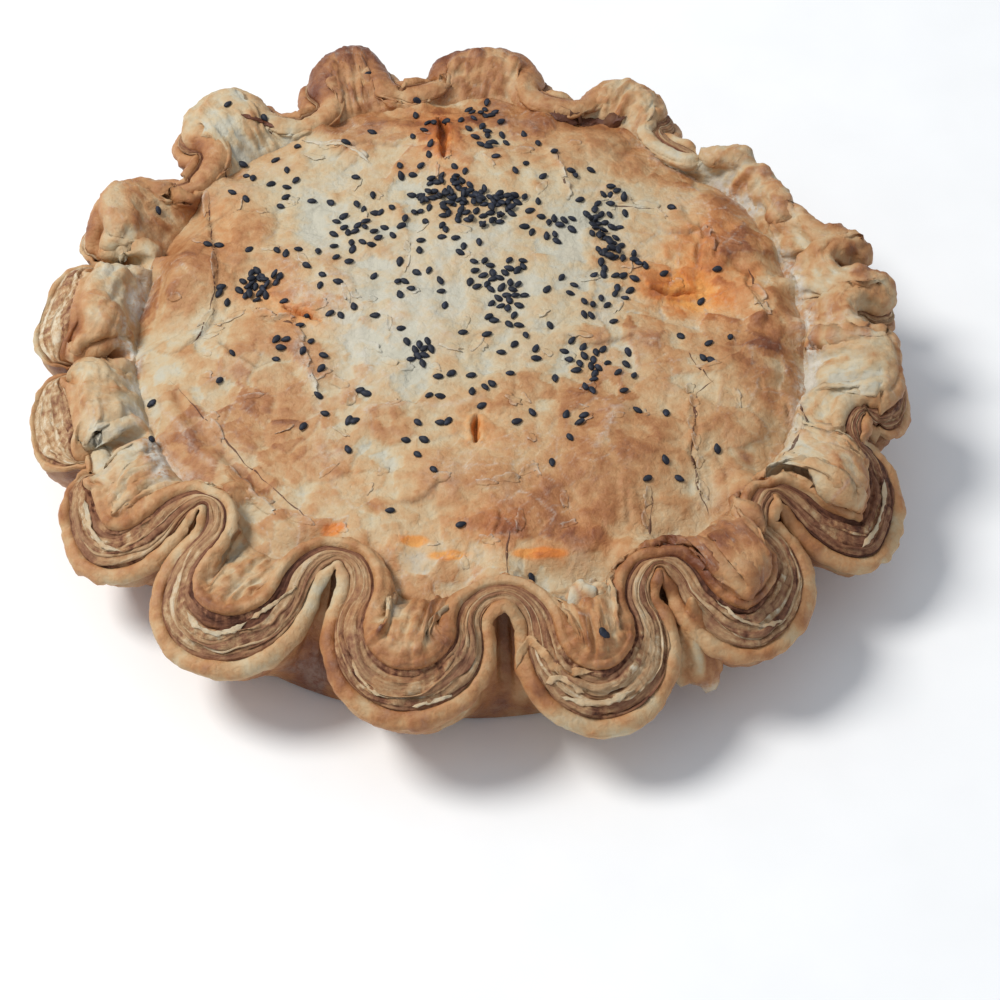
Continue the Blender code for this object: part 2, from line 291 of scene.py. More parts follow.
class Band:
    """The rim's section at each station: its middle, its two directions, and what the baker did there."""

    def __init__(self, stations):
        line, self.length = band_line(stations)
        step = self.length / stations
        spots = np.concatenate([plan_of(line), np.zeros((stations, 1))], axis=1)
        line[:, 1] += 0.9 * noise(spots, 18, 5)
        line[:, 2] += 1.0 * noise(spots, 15, 6)
        height, self.lobeness, self.lid_edge = line[:, 2:5].T
        puff, lean, cover, spread, self.pad, self.pucker, self.opening, seam = (
            evened(column, FLUTE_WINDOW / step) for column in line[:, 5:-1].T
        )
        lobe = self.lobeness
        self.puff = puff * lobe
        self.base = line[:, -1]
        self.degrees = np.degrees(self.base) % 360
        self.along = np.arange(stations) * step
        self.radial = np.stack([np.cos(self.base), np.sin(self.base), 0 * self.base], axis=1)
        self.puffed = between(self.degrees, 150, 160, 202, 210)
        self.slim = 1 - 0.6 * self.puffed
        pinched = self.puffed * (1 - lobe)
        swirl = between(self.degrees, 42, 47, 55, 60)

        plan = plan_of(line)
        chord = np.roll(plan, -1, axis=0) - np.roll(plan, 1, axis=0)
        size = np.linalg.norm(chord, axis=1)
        along = chord / size[:, None]
        change = np.linalg.norm(np.roll(along, -1, axis=0) - np.roll(along, 1, axis=0), axis=1)
        curl = evened(size / np.maximum(change, 0.001), CURL_WINDOW / step)
        self.middle = np.concatenate([plan, height[:, None]], axis=1)
        self.middle[:, 2] -= PINCH_SINK * smooth(0.1, 1, pinched)
        self.outward = np.stack([along[:, 1], -along[:, 0], 0 * lobe], axis=1)
        bend_lean = BEND_LEAN + ROLLED_LEAN * rolled_side(self.base)
        lean = np.radians(bend_lean + (lean - bend_lean) * lobe)[:, None]
        self.rising = np.cos(lean) * UP + np.sin(lean) * self.outward
        self.across = np.cos(lean) * self.outward - np.sin(lean) * UP
        bend_seam = BEND_SEAM - GROOVE * floury_side(self.base)
        self.seam = bend_seam + (seam - bend_seam) * smooth(0, 0.7, lobe) - PINCH_SEAM * pinched

        upright = np.cos(lean[:, 0])
        half = (BEND_THICKNESS + (TIP_THICKNESS - BEND_THICKNESS) * lobe) / 2
        half = half * (1 + 0.08 * noise(spots, 16, 7)) * (1 - PINCH_THIN * pinched)
        self.outer = np.minimum(half, CURL_SHARE * curl / upright)
        room = np.maximum(INNER_CURL_SHARE * curl - self.outer * upright, 0)
        fan = np.minimum(spread * lobe, 0.7 * room)
        self.inner = -(self.outer + BEND_EXTRA * (1 - lobe) * (1 - self.puffed) + fan)
        self.room = np.maximum(INNER_CURL_SHARE * curl + self.inner * upright, 0)
        narrowed = np.clip((curl - self.outer) / 6, 0.2, 1) * (self.slim + 0.2 * noise(spots, 12, 8))
        self.lip = (0.35 + 0.65 * lobe) * narrowed
        self.narrow = np.minimum(self.outer / 3, 1) * self.slim
        cover = (cover + PINCH_COVER * pinched) * (1 - 0.8 * swirl)
        least = CUT_LEAST * (1 - PINCH_CLOSED * pinched)
        most = self.outer - LIP_WIDTH * self.slim - self.inner - BEAD_WIDTH - least
        self.start = self.inner + BEAD_WIDTH + np.minimum(cover, np.maximum(most, 0))

    def at(self, across, rising):
        """The point so far outward across the cut edge and so far above it, at each station."""
        across, rising = across + 0 * self.outer, rising + 0 * self.outer
        return self.middle + self.across * across[:, None] + self.rising * rising[:, None]


def floury_side(angle):
    """How floury the groove beside the lid is, by the angle round the pie: at its right and at its left."""
    degrees = np.degrees(angle) % 360
    right = smooth(325, 345, degrees) + smooth(62, 45, degrees)
    return np.clip(right + between(degrees, 160, 172, 208, 222), 0, 1)


print("the rim is", round(Band(400).length), "mm long, measured along its crimps")

# %% [markdown]
# ## From a grid to a ring
#
# Every part of the crust goes all the way round, so each starts as one flat grid: its columns are the
# stations along the rim and its rows climb the section. Each point moves to its own place, and merging the
# points that meet closes the seam and the poles. Spinning a profile gives the same faces, but takes a
# hundred times as long at this fineness.

# %% Bend a grid into a ring
SKIN_FIELDS = ("browning", "flour", "juice", "shade")
MERGED_WITHIN = 0.001 * MM


def shaped(shape, places, fields):
    """Moves the vertices to their places in millimetres, and gives each its value of every field."""
    for vertex, place in zip(shape.verts, places * MM + RING_CENTRE):
        vertex.co = place
    for name, values in fields.items():
        layer = shape.verts.layers.float.new(name)
        for vertex, value in zip(shape.verts, values):
            vertex[layer] = value


def ring_piece(name, sections, fields, closed=True):
    """A ring from sections[station, row] in millimetres. Not closed, it starts and ends on the axis."""
    stations, rows, _ = sections.shape
    steps = rows if closed else rows - 1
    shape = bmesh.new()
    bmesh.ops.create_grid(shape, x_segments=stations, y_segments=steps, size=1)
    flat = np.array([v.co for v in shape.verts])
    station_of = np.round((flat[:, 0] + 1) / 2 * stations).astype(int) % stations
    row_of = np.round((flat[:, 1] + 1) / 2 * steps).astype(int) % rows
    own = {field: values[station_of, row_of] for field, values in fields.items()}
    shaped(shape, sections[station_of, row_of], own)
    bmesh.ops.remove_doubles(shape, verts=shape.verts, dist=MERGED_WITHIN)
    bmesh.ops.recalc_face_normals(shape, faces=shape.faces)
    return finished(name, shape)


def finished(name, shape):
    """The bmesh as a smooth-shaded object."""
    mesh = bpy.data.meshes.new(name)
    shape.to_mesh(mesh)
    shape.free()
    mesh.shade_smooth()
    piece = bpy.data.objects.new(name, mesh)
    bpy.context.scene.collection.objects.link(piece)
    tops = [v.co.z for v in mesh.vertices]
    triangles = sum(len(p.vertices) - 2 for p in mesh.polygons)
    print(name, "has", triangles, "triangles and stands", round(max(tops) / MM, 1), "mm high")
    return piece


def bezier(start, first, second, end, steps):
    """Points strictly between the ends of a cubic curve, for every station at once."""
    points = []
    for t in np.arange(1, steps + 1) / (steps + 1):
        s = 1 - t
        points.append(s**3 * start + 3 * s * s * t * first + 3 * s * t * t * second + t**3 * end)
    return points


def outward_normals(sections):
    """The surface's own normals, from how the grid of points runs along and up the ring."""
    along = np.roll(sections, -1, axis=0) - np.roll(sections, 1, axis=0)
    normal = np.cross(along, np.gradient(sections, axis=1))
    return normal / np.maximum(np.linalg.norm(normal, axis=-1, keepdims=True), 1e-9)


# %% [markdown]
# ## The case
#
# The bottom crust is one sheet that lines the tin, climbs the wall and ends in the rim. Between the lobes
# it gathers into deep pleats, and along the rim it ends in a soft round lip under the cut layers. The wall
# is a cubic curve from the base's corner to that lip, the same curve as the solid's, then roughened.

# %% Model the case
CASE_STATIONS = 1500
WALL_ROWS = 20
LIP_INSIDE = ((2.3, -4.5), (2.2, -0.9), (1.9, 0.1), (1.2, 0.6), (0.3, 0.8))
LIP_OUTSIDE = ((1.2, 0.7), (2.2, 0.1), (2.9, -1.1), (3.1, -2.6), (2.8, -4.2))
LIP_BOTTOM = (2.0, -5.6)
UNDERSIDE_RING, INSIDE_RING, INSIDE_HEIGHT = 60, 76, 10


def case_piece():
    band = Band(CASE_STATIONS)
    lobe = band.lobeness[:, None]
    foot = band.radial * BASE_RADIUS + UP * BASE_CORNER
    edge = band.at(band.outer + LIP_BOTTOM[0] * band.lip, LIP_BOTTOM[1] * band.lip)
    below_edge = edge - 8 * UP - 1.5 * lobe * band.outward
    above_foot = foot + 13 * lobe * band.radial + (14 - 7 * lobe) * UP
    corner = [
        band.radial * (BASE_RADIUS - BASE_CORNER * (1 - math.sin(turn)))
        + UP * BASE_CORNER * (1 - math.cos(turn))
        for turn in (0, math.radians(40), math.radians(75))
    ]
    wall = [foot, *bezier(foot, above_foot, below_edge, edge, WALL_ROWS), edge]
    lip = [band.at(band.outer + beyond * band.lip, rise * band.lip) for beyond, rise in LIP_OUTSIDE[::-1]]
    lip += [band.at(band.outer - inset * band.narrow, rise) for inset, rise in LIP_INSIDE[::-1]]
    axis = np.zeros((CASE_STATIONS, 3))
    below = [axis, band.radial * UNDERSIDE_RING, *corner]
    inside = [band.radial * INSIDE_RING + UP * INSIDE_HEIGHT, axis + UP * INSIDE_HEIGHT]
    sections = np.stack([*below, *wall, *lip, *inside], axis=1)

    rows = sections.shape[1]
    first = len(below)
    last = first + len(wall) + len(lip) - 2
    shown = np.zeros(rows)
    shown[first:last] = 1
    climb = np.clip((np.arange(rows) - first) / (WALL_ROWS + 1), 0, 1)
    on_lip = 0.0 + (np.arange(rows) > first + WALL_ROWS + 1)
    gathered = creased(sections * [1, 1, 0.2], 5.5, 11)
    lumps = rough(sections, 14, 12)
    skin = rough(sections, 3.2, 13)
    wrinkles = creased(sections, 5, 16)
    crease = smooth(0.05, 0, lobe) * smooth(0.1, 0.5, climb) * (1 - on_lip)
    depth = 0.5 * gathered * (1 - 0.75 * climb) + 0.55 * lumps + 0.25 * skin - 1.6 * crease
    depth = depth + (0.35 + 0.15 * on_lip) * wrinkles
    sections = sections + outward_normals(sections) * (depth * shown * np.minimum(1, climb * 6))[..., None]

    patches = rough(sections, 18, 14)
    browning = 0.54 + 0.26 * patches + 0.12 * skin + 0.10 * wrinkles + (0.16 * patches - 0.08) * on_lip
    # Browner low on the wall where it pleats at the bends, and browner in the valleys of its gathers than on
    # their humps: partly browning, partly painted light and shade on these folds.
    browning += 0.40 * smooth(0.8, 0.3, lobe) * (1 - 0.7 * climb) * (0.8 + lumps) * (1 - on_lip)
    browning -= 0.12 * gathered * (1 - climb)
    flour = 0.35 * smooth(0.1, 0.7, lumps) * (1 - climb) + 0.10 * smooth(0.3, 0.8, skin)
    shade = 0.42 * smooth(0.4, 0, climb) + 0.40 * smooth(0.5, 1, climb) * (1 - on_lip) + 0.5 * crease
    fields = dict(zip(SKIN_FIELDS, (browning, flour, 0 * flour, shade)))
    return ring_piece("case", capped(sections), fields, closed=False)


case = case_piece()

# %% [markdown]
# ## The cut edge and its layers
#
# Puff pastry is dough and butter folded into dozens of leaves. Where a knife cut it, the leaves lift apart
# in the oven, so the rim shows flowing bands: cream leaves that fan out in the lobes, tan and mauve ones
# that stay pressed together, a few open slots, and crumbs. A texture could paint the lines, but the light
# has to catch real edges. So each leaf gets three rows of points between two valleys, and noise that runs
# along the band lifts the leaves, frays their edges and opens the slots.

# %% Model the cut layers
LAYER_STATIONS = 2250
# Width, extra width where the lobe opens, tone from dark to cream; from the outer lip to the inner bead
LEAVES = (
    (0.9, 0.0, 0.38), (2.0, 0.6, 0.52), (0.5, 0.9, 0.68), (1.7, 1.2, 0.47), (0.5, 0.9, 0.66),
    (1.8, 1.0, 0.54), (1.5, 0.4, 0.39), (1.7, 0.0, 0.27),
)
COUNT = len(LEAVES)
LEAF_WIDTHS, LEAF_FANS, LEAF_TONES = np.array(LEAVES).T
APART = 57.0


def layers_piece():
    band = Band(LAYER_STATIONS)
    lobe = band.lobeness[:, None]
    opened = band.opening[:, None] * smooth(0.1, 0.8, lobe)
    lanes = np.concatenate([np.zeros((COUNT, 2)), APART * np.arange(COUNT)[:, None]], axis=1)
    places = band.middle[:, None] + lanes[None]
    slots = np.concatenate([places, band.middle[:, None] + [[0, 0, APART * COUNT]]], axis=1) + [[900, 0, 0]]

    widths = (LEAF_WIDTHS + LEAF_FANS * opened) * np.clip(1 + 1.3 * rough(places, 20, 21), 0.12, None)
    widths /= widths.sum(axis=1, keepdims=True)
    shares = np.concatenate([np.zeros((LAYER_STATIONS, 1)), np.cumsum(widths, axis=1)], axis=1)
    outer = band.outer - LIP_WIDTH * band.narrow
    width = (outer - band.start)[:, None]
    bounds = outer[:, None] - shares * width

    gape = smooth(0.25, 0.85, rough(slots, 13, 31) + 0.2 * noise(slots, 2.2, 35)) * (0.2 + 0.8 * opened)
    beside = [np.pad(widths, ((0, 0), more), "edge") for more in ((1, 0), (0, 1))]
    gap = np.minimum(0.08 + 0.5 * gape, 0.3 * np.minimum(*beside) * width)
    arch = 0.5 - 0.9 * (2 * np.arange(COUNT + 1) / COUNT - 1) ** 2
    valley = 0.10 + 0.30 * rough(slots, 9, 36, 2) + 3.0 * gape - arch

    degrees = band.degrees[:, None]
    left = between(degrees, 148, 165, 196, 208)
    crumbly = np.maximum(smooth(-0.25, 0.4, rough(places, 15, 47, 2)), 0.8 * left) * opened
    crest = 0.10 + 0.50 * rough(places, 15, 41, 2) * (0.4 + opened) + 0.50 * noise(places, 4.0, 44) * opened
    fray = 0.65 * rough(places, 1.7, 46, 2) * crumbly + 0.14 * noise(places, 2.2, 48)
    middle_of = 2 * (np.arange(COUNT) + 0.5) / COUNT - 1
    crest = crest + 0.5 - 0.9 * middle_of**2
    ahead = band.along[:, None] + 2 * noise(places, 5, 64)
    lane = lanes[None, :, 2] / APART * 1.6 + 0 * ahead
    torn = creased(np.stack([ahead, lane, 0 * ahead], axis=-1), 4.2, 65, 1)
    cracked = smooth(-0.25, -0.55, torn) * opened * 0.3 * (1 - 0.6 * left)
    crest = crest - 1.1 * cracked

    patches = rough(places, 22, 51)
    specks = noise(places, 1.5, 54)
    leaf_tone = LEAF_TONES - 0.01 + 0.24 * left + 0.28 * patches + (0.08 + 0.26 * crumbly) * specks
    # Painted shade: a leaf is darker where it cracked, as well as lower.
    leaf_tone = leaf_tone - 0.35 * cracked - 0.27 * between(degrees, 318, 325, 336, 342)
    rows, heights, tones, crumbs = [], [], [], []
    for k in range(COUNT + 1):
        before, after = max(k - 1, 0), min(k, COUNT - 1)
        rows.append(bounds[:, k])
        heights.append(-valley[:, k])
        darker = np.minimum(leaf_tone[:, before], leaf_tone[:, after])
        # A valley takes the darker leaf's tone, and an open slot is darker still with painted shade.
        tones.append(darker + 0.01 - 0.42 * gape[:, k])
        crumbs.append(crumbly[:, after])
        if k == COUNT:
            break
        near, far = bounds[:, k] - gap[:, k], bounds[:, k + 1] + gap[:, k + 1]
        for part, drop, side in ((0.0, 0.25, k), (0.5, 0.0, None), (1.0, 0.25, k + 1)):
            rows.append(near + (far - near) * part)
            tilt = 0.22 * noise(places[:, k], 8, 61) * (part - 0.5)
            frayed = fray[:, k] * (0.5 if side is None else 1)
            heights.append(crest[:, k] + tilt - drop * (0.4 + fray[:, k]) + frayed)
            light = 0 if side is None else 0.22 * gape[:, side] - 0.05
            tones.append(leaf_tone[:, k] + light)
            crumbs.append(crumbly[:, k])
    across, rising = np.stack(rows, axis=1), np.stack(heights, axis=1)
    rising = rising * smooth(0, 0.3, band.outer / BEND_THICKNESS)[:, None]
    spots = across[..., None] * [1, 0, 0] + band.middle[:, None]
    sway = (0.25 * noise(spots, 2.6, 71) + 0.45 * noise(spots, 6, 73)) * (0.3 + 0.7 * opened)
    inner_fade = smooth(0, 1.0, across - band.start[:, None]) * smooth(0, 1.0, outer[:, None] - across)
    across = across + sway * inner_fade
    shown = [band.at(across[:, row], rising[:, row]) for row in range(across.shape[1])]
    deep = [band.at(band.start, -5.0), band.at(outer, -5.0)]
    sections = np.stack(shown + deep, axis=1)
    tone = np.clip(np.stack(tones + [tones[-1], tones[0]], axis=1), 0, 1)
    crumb = np.stack(crumbs + [crumbs[-1], crumbs[0]], axis=1)
    depth = np.concatenate([across, across[:, -1:], across[:, :1]], axis=1)
    return ring_piece("cut_layers", capped(sections), {"tone": tone, "crumb": crumb, "across": depth})


layers = layers_piece()

# %% [markdown]
# ## The rim's inner side
#
# Inside the rim, the top crust rolls over the cut edge in a soft golden bead and drops into the hollow that
# the finger pressed. Some hollows stayed hollow, with puckers like gathered cloth, and most puffed up into
# cushions while they baked. Puckers are ridges that run up and down, so their noise is squeezed along the
# band and stretched down the slope.

# %% Model the rim's inner skin
SKIN_STATIONS = 2000
SLOPE_ROWS, ROLL_ROWS = 28, 7
PAD_RISE = 5.5


def skin_piece():
    band = Band(SKIN_STATIONS)
    filled = np.clip(band.pad * smooth(0.02, 0.35, band.lobeness), 0, 1)
    sink = 1.2 + 6.8 * smooth(0.15, 0.6, band.lobeness) * (1 - 0.85 * filled)
    wide = band.start - band.inner + 0.6
    uneven = 1 + 0.4 * noise(band.middle, 9, 95) + 0.25 * noise(band.middle, 3, 96)
    roll = [band.at(band.start + 0.5, -5.0), band.at(band.start + 0.45, -0.6)]
    for turn in np.linspace(0.05, 0.95, ROLL_ROWS):
        rise = 0.2 + (0.5 + 0.12 * wide) * uneven * math.sqrt(math.sin(math.pi * (0.9 * turn)))
        roll.append(band.at(band.start - turn * wide, rise + 0.8 * turn * filled))
    corner = band.at(band.inner - 0.9, 1.5 * filled - 0.3)
    rim = band.radial * band.lid_edge[:, None] + UP * band.seam[:, None]
    puff = band.puff[:, None]
    pull = 9 * puff * (UP - band.across) / 2 - sink[:, None] * band.rising
    sideways = np.maximum(-(pull * band.outward).sum(axis=1) - band.room, 0)
    first = corner + pull + sideways[:, None] * band.outward
    second = rim + 7 * band.lobeness[:, None] * band.radial + 9 * puff * UP
    slope = [corner, *bezier(corner, first, second, rim, SLOPE_ROWS), rim]
    tuck = band.lid_edge[:, None]
    hidden = [band.radial * (tuck - near) + UP * height for near, height in ((6, 28), (5, 23), (1, 22))]
    sections = np.stack(roll + slope + hidden, axis=1)

    rows = sections.shape[1]
    shown = np.zeros(rows)
    shown[2 : len(roll) + len(slope)] = 1
    down = np.clip((np.arange(rows) - len(roll)) / (SLOPE_ROWS + 1), 0, 1)[None]
    lobe = band.lobeness[:, None]
    puffed = band.puffed[:, None]
    cushion = np.sin(math.pi * down**0.8) * smooth(0.0, 0.3 - 0.15 * puffed, lobe) * band.pad[:, None]
    lumps = rough(sections, 13, 85, 2)
    normals = outward_normals(sections)
    sections = sections + normals * (cushion * (PAD_RISE + 1.5 * puffed + 2.0 * lumps) * shown)[..., None]

    rolled = rolled_side(band.base)[:, None]
    on_roll = (0.4 + 0.6 * rolled) * (np.arange(rows) > 3) * (np.arange(rows) <= len(roll))
    on_slope = np.maximum(smooth(0, 0.12, down) * smooth(1.06, 0.9, down), on_roll)
    knobs = creased(sections, 9, 98) - 0.1
    wave = band.along[:, None] + 2.2 * rough(sections, 8, 81, 2)
    gathers = np.stack([wave, 0 * wave, down * 8 + 0 * wave], axis=-1)
    ridges = 0.5 * creased(gathers, 6.0, 82, 1) + 0.9 * noise(gathers, 3.4, 83)
    bubbles = creased(sections, 8, 84)
    crumple = creased(sections, 3.4, 92)
    fine = rough(sections, 1.8, 86, 2)
    degrees = band.degrees[:, None]
    left = between(degrees, 140, 155, 210, 222)
    ribs = creased(np.stack([wave / 5, 0 * wave, down * 22 + 0.8 * lumps], axis=-1), 2.4, 94, 1)
    strength = band.pucker[:, None] * smooth(0.05, 0.4, lobe) * on_slope
    low = smooth(0.0, 0.3, down)
    depth = 1.5 * strength * ridges + (0.2 + 0.45 * on_slope) * bubbles * (0.4 + 0.6 * low)
    depth = depth + 0.4 * lumps * on_slope + 0.16 * fine
    depth = depth + (0.12 + 0.40 * on_slope * (1 - 0.4 * left)) * crumple
    front = between(degrees, 280, 300, 324, 334)
    depth = depth + 0.4 * left * ribs * on_slope * smooth(0.05, 0.5, lobe)
    depth = depth + (1.5 * rolled + 0.9 * front) * knobs * on_slope
    flake, inside = flakes(wave + 3 * lumps, down * 26 + 3 * bubbles, 5.0, 88)
    depth = depth + 0.15 * flake * smooth(0, 0.5, inside) * on_slope
    sections = sections + outward_normals(sections) * (depth * shown)[..., None]

    patches = rough(sections, 20, 87)
    right = np.clip(smooth(58, 44, degrees) + smooth(335, 348, degrees), 0, 1)
    pale = 0.7 * left + (0.5 + 0.7 * smooth(14, 30, degrees)) * right
    pale = pale + 1.3 * between(degrees, 118, 125, 136, 142) + 0.7 * between(degrees, 321, 326, 334, 340)
    dark = between(degrees, 290, 302, 318, 326)
    dark = dark + 0.6 * between(degrees, 290, 296, 300, 304) * (1 - lobe)
    dark = 1.7 * dark + 0.5 * between(degrees, 224, 232, 280, 290)
    dark = dark + (0.8 + 0.7 * smooth(96, 102, degrees)) * between(degrees, 58, 68, 116, 124)
    browning = 0.44 + 0.24 * patches + 0.14 * bubbles + 0.22 * strength * ridges + 0.05 * fine
    browning += (0.10 * crumple + 0.13 * flake) * on_slope - 0.18 * pale + 0.14 * dark
    browning += 0.18 * smooth(0.2, 0.0, down) * smooth(0.05, 0.4, lobe) - 0.06 * smooth(0.6, 1.0, down)
    browning += 0.28 * smooth(0.2, 0.7, rough(sections, 6, 97)) * right + 0.10 * rolled * knobs
    dusty = smooth(-0.3, 0.4, rough(sections, 6, 91)) * floury_side(band.base)[:, None]
    flour = 1.3 * smooth(0.6, 0.95, down) * dusty
    flour += 0.25 * smooth(0.3, -0.5, bubbles) * on_slope * (0.3 + dusty)
    flour += 0.35 * smooth(0.4, 0.0, inside) * smooth(0, 0.6, flake) * on_slope
    shade = 0.15 * smooth(0.93, 1.0, down) + 0.6 * strength * smooth(-0.25, -0.6, ridges)
    shade += 0.25 * smooth(-0.35, -0.6, crumple) * on_slope
    fields = dict(zip(SKIN_FIELDS, (browning, flour, 0 * flour, shade)))
    return ring_piece("rim_skin", capped(sections), fields)


skin = skin_piece()

# %% [markdown]
# ## The lid
#
# The lid is the same sheet as the rim's inner skin, puffed up by steam into a low uneven dome. It carries
# everything that makes this pie itself: swells, folded flaps, flakes that lifted, cracks, and four slits
# that let the steam out. All of them are heights over a flat place, so the lid starts as a square grid that
# is bent into a disc, and a list of small features adds to each point's height.

# %% The lid's features, in millimetres from the pie's middle
# Swells and hollows: centre, rise, spread
SWELLS = (
    (38, -52, 3.6, 15), (4, -66, 2.6, 17), (62, 9, -4.0, 14), (-80, 18, 2.5, 12), (-52, -34, -2.5, 20),
    (12, 52, 1.8, 22), (-38, 46, -1.5, 18), (70, -30, 2.0, 16), (72, 34, 2.2, 13), (-20, -8, 1.2, 14),
    (-64, -10, 1.5, 12), (30, -20, -1.2, 13), (-8, 72, 2.6, 14), (40, 66, 2.4, 14), (-44, 70, 1.6, 12),
    (-82, 17, 2.5, 9), (24, 88, 1.6, 8), (-22, 88, 2.0, 8), (84, 6, 1.6, 8), (-66, 56, 1.2, 10),
    (-26, -74, 1.5, 9),
)
# Soft folds: rise, half width, then the points of the line
FOLDS = (
    (1.3, 1.6, ((-49.7, -3.9), (-46.7, -12.9), (-43.7, -23.0), (-41.3, -34.8))),
    (1.2, 1.7, ((-31.6, -11.2), (-26.9, -20.3), (-20.6, -26.0))),
    (0.8, 1.8, ((-29.8, -42.2), (-27.3, -33.7), (-19.2, -32.8), (-8.5, -33.4), (6, -31))),
    (0.9, 1.8, ((-49.8, 72.2), (-34.9, 69.7), (-28.9, 61.8), (-27, 55))),
    (1.4, 1.8, ((22.4, 68.2), (26.4, 58.0), (28.2, 46.1))),
    (1.1, 1.8, ((28.3, 46.5), (40.6, 49.4), (46, 46))),
    (0.9, 1.8, ((44.6, 42.2), (54.8, 43.6), (64, 40))),
    (1.5, 3.0, ((30.5, -60.4), (33.0, -48.8), (38.0, -36.6), (44.9, -33.1))),
    (1.2, 2.6, ((-9.9, -65.8), (-6.0, -60.8), (1.8, -60.3), (12.3, -57.4))),
    (0.8, 2.2, ((-20, 10), (-12, 4), (-10, -6), (-2, -12))),
    (0.8, 2.2, ((-44, 18), (-36, 12), (-30, 4), (-31, -8))),
    (-1.5, 1.6, ((-83.9, -13.3), (-79.0, -26.1), (-73.0, -36.7), (-63.0, -49.1), (-47.8, -66.7),
        (-34.6, -76.6))),
    (1.2, 3.2, ((-88, -18), (-80, -35), (-68, -52), (-52, -70))),
    (-1.1, 1.6, ((-36, -50), (-30, -58), (-24, -70))),
    (-1.4, 1.8, ((-60, -50), (-66, -58), (-70, -64))),
    (-1.2, 2.0, ((86, 24), (78, 20), (72, 24))),
    (-1.2, 2.2, ((52, 76), (46, 66), (42, 58))),
    (-1.2, 2.2, ((-20, 92), (-16, 82), (-14, 76))),
)
# Flakes that lifted along one side: step, fade behind the edge, points. The raised side is on the left.
LIFTED = (
    (1.0, 5, ((-87, -9), (-80, -8), (-74.7, -3.1), (-71.4, 3.9), (-71.2, 12.2), (-73.1, 28.1),
        (-74.5, 40), (-77.2, 53.8))),
    (1.4, 5, ((80.7, -3.5), (81.8, 2.5), (80.1, 8.4), (77.5, 15), (78.0, 21))),
    (1.0, 7, ((-20.4, -64.5), (-16.5, -65.0), (-11.2, -62.6), (-8.6, -59.2), (-4, -60))),
    (1.1, 6, ((80, -3.6), (75.1, -10.2), (73.4, -14.5), (62.0, -19.7), (60.5, -24))),
    (1.1, 6, ((-61.2, 6.7), (-57.6, 0.7), (-53.9, -0.8), (-49.8, 0.9))),
    (0.9, 7, ((-50, -14), (-58, -18), (-66, -14), (-70, -6))),
    (1.2, 6, ((52, 40), (56, 33), (62, 31), (66, 34))),
    (1.0, 6, ((24, -8), (32, -12), (44, -8), (52, -14))),
    (0.9, 6, ((-40, 66), (-30, 72), (-20, 68))),
)
# Cracks: depth, half width, points
CRACKS = (
    (0.7, 0.5, ((61.2, -27.1), (59.5, -32.3), (59.5, -41.9), (58.0, -48.3), (59.9, -54.1), (60.4, -63.3))),
    (0.7, 0.5, ((41.0, -58.9), (40.2, -65.5), (40.3, -72.1))),
    (0.8, 0.5, ((6.4, -68.5), (6.3, -72.7), (5.3, -83.1))),
    (1.2, 0.6, ((65.9, 36.4), (67.2, 30.4), (65.2, 26.4), (63.4, 19.4))),
    (0.9, 0.5, ((70.5, 28.8), (69.0, 22.4))),
    (0.9, 0.5, ((78.2, -23.2), (78.1, -30.3))),
    (1.2, 0.5, ((84.0, -28), (86.5, -36), (84, -42))),
    (3.5, 1.4, ((26, 84.5), (33, 86.5), (46.2, 87.1))),
    (1.8, 0.9, ((-67.3, 88.6), (-56.5, 83.3))),
)
# Steam slits: centre, direction in degrees, length, half width
SLITS = (
    (-7.5, 71.5, 92, 21, 1.2),
    (-46.5, 0.8, 154, 13, 0.7),
    (57.5, 11.6, 6, 15, 0.6),
    (1.2, -41.6, 86, 10, 0.8),
)


def to_line(x, y, points):
    """How far each place is from a line, how far to the line's left, and how far along it, from 0 to 1."""
    points = np.array(points, float)
    starts = lengths_of(points)
    best = np.full(x.shape, np.inf)
    side, along = np.zeros(x.shape), np.zeros(x.shape)
    for start, step, (ax, ay), (bx, by) in zip(starts, np.diff(starts), points, points[1:]):
        dx, dy = (bx - ax) / step, (by - ay) / step
        ahead = (x - ax) * dx + (y - ay) * dy
        left = (y - ay) * dx - (x - ax) * dy
        held = np.clip(ahead, 0, step)
        away = np.hypot(ahead - held, left)
        nearer = away < best
        best = np.where(nearer, away, best)
        side = np.where(nearer, np.sign(left) * away, side)
        along = np.where(nearer, (start + held) / starts[-1], along)
    return best, side, along


def ends(along, fade=0.18):
    """1 along a line, and easing to 0 at both its ends."""
    return smooth(0, fade, along) * smooth(1, 1 - fade, along)


# %% [markdown]
# The next cell adds the features up. Two things keep them from looking drawn: the places are nudged by
# noise before they are measured against a line, so every edge wanders, and a little rough noise covers the
# whole lid, as blisters do.

# %% Heights over the lid
SHOULDER_HEIGHT, CROWN_HEIGHT, DOME_RADIUS = 38.5, 45.0, 88.0


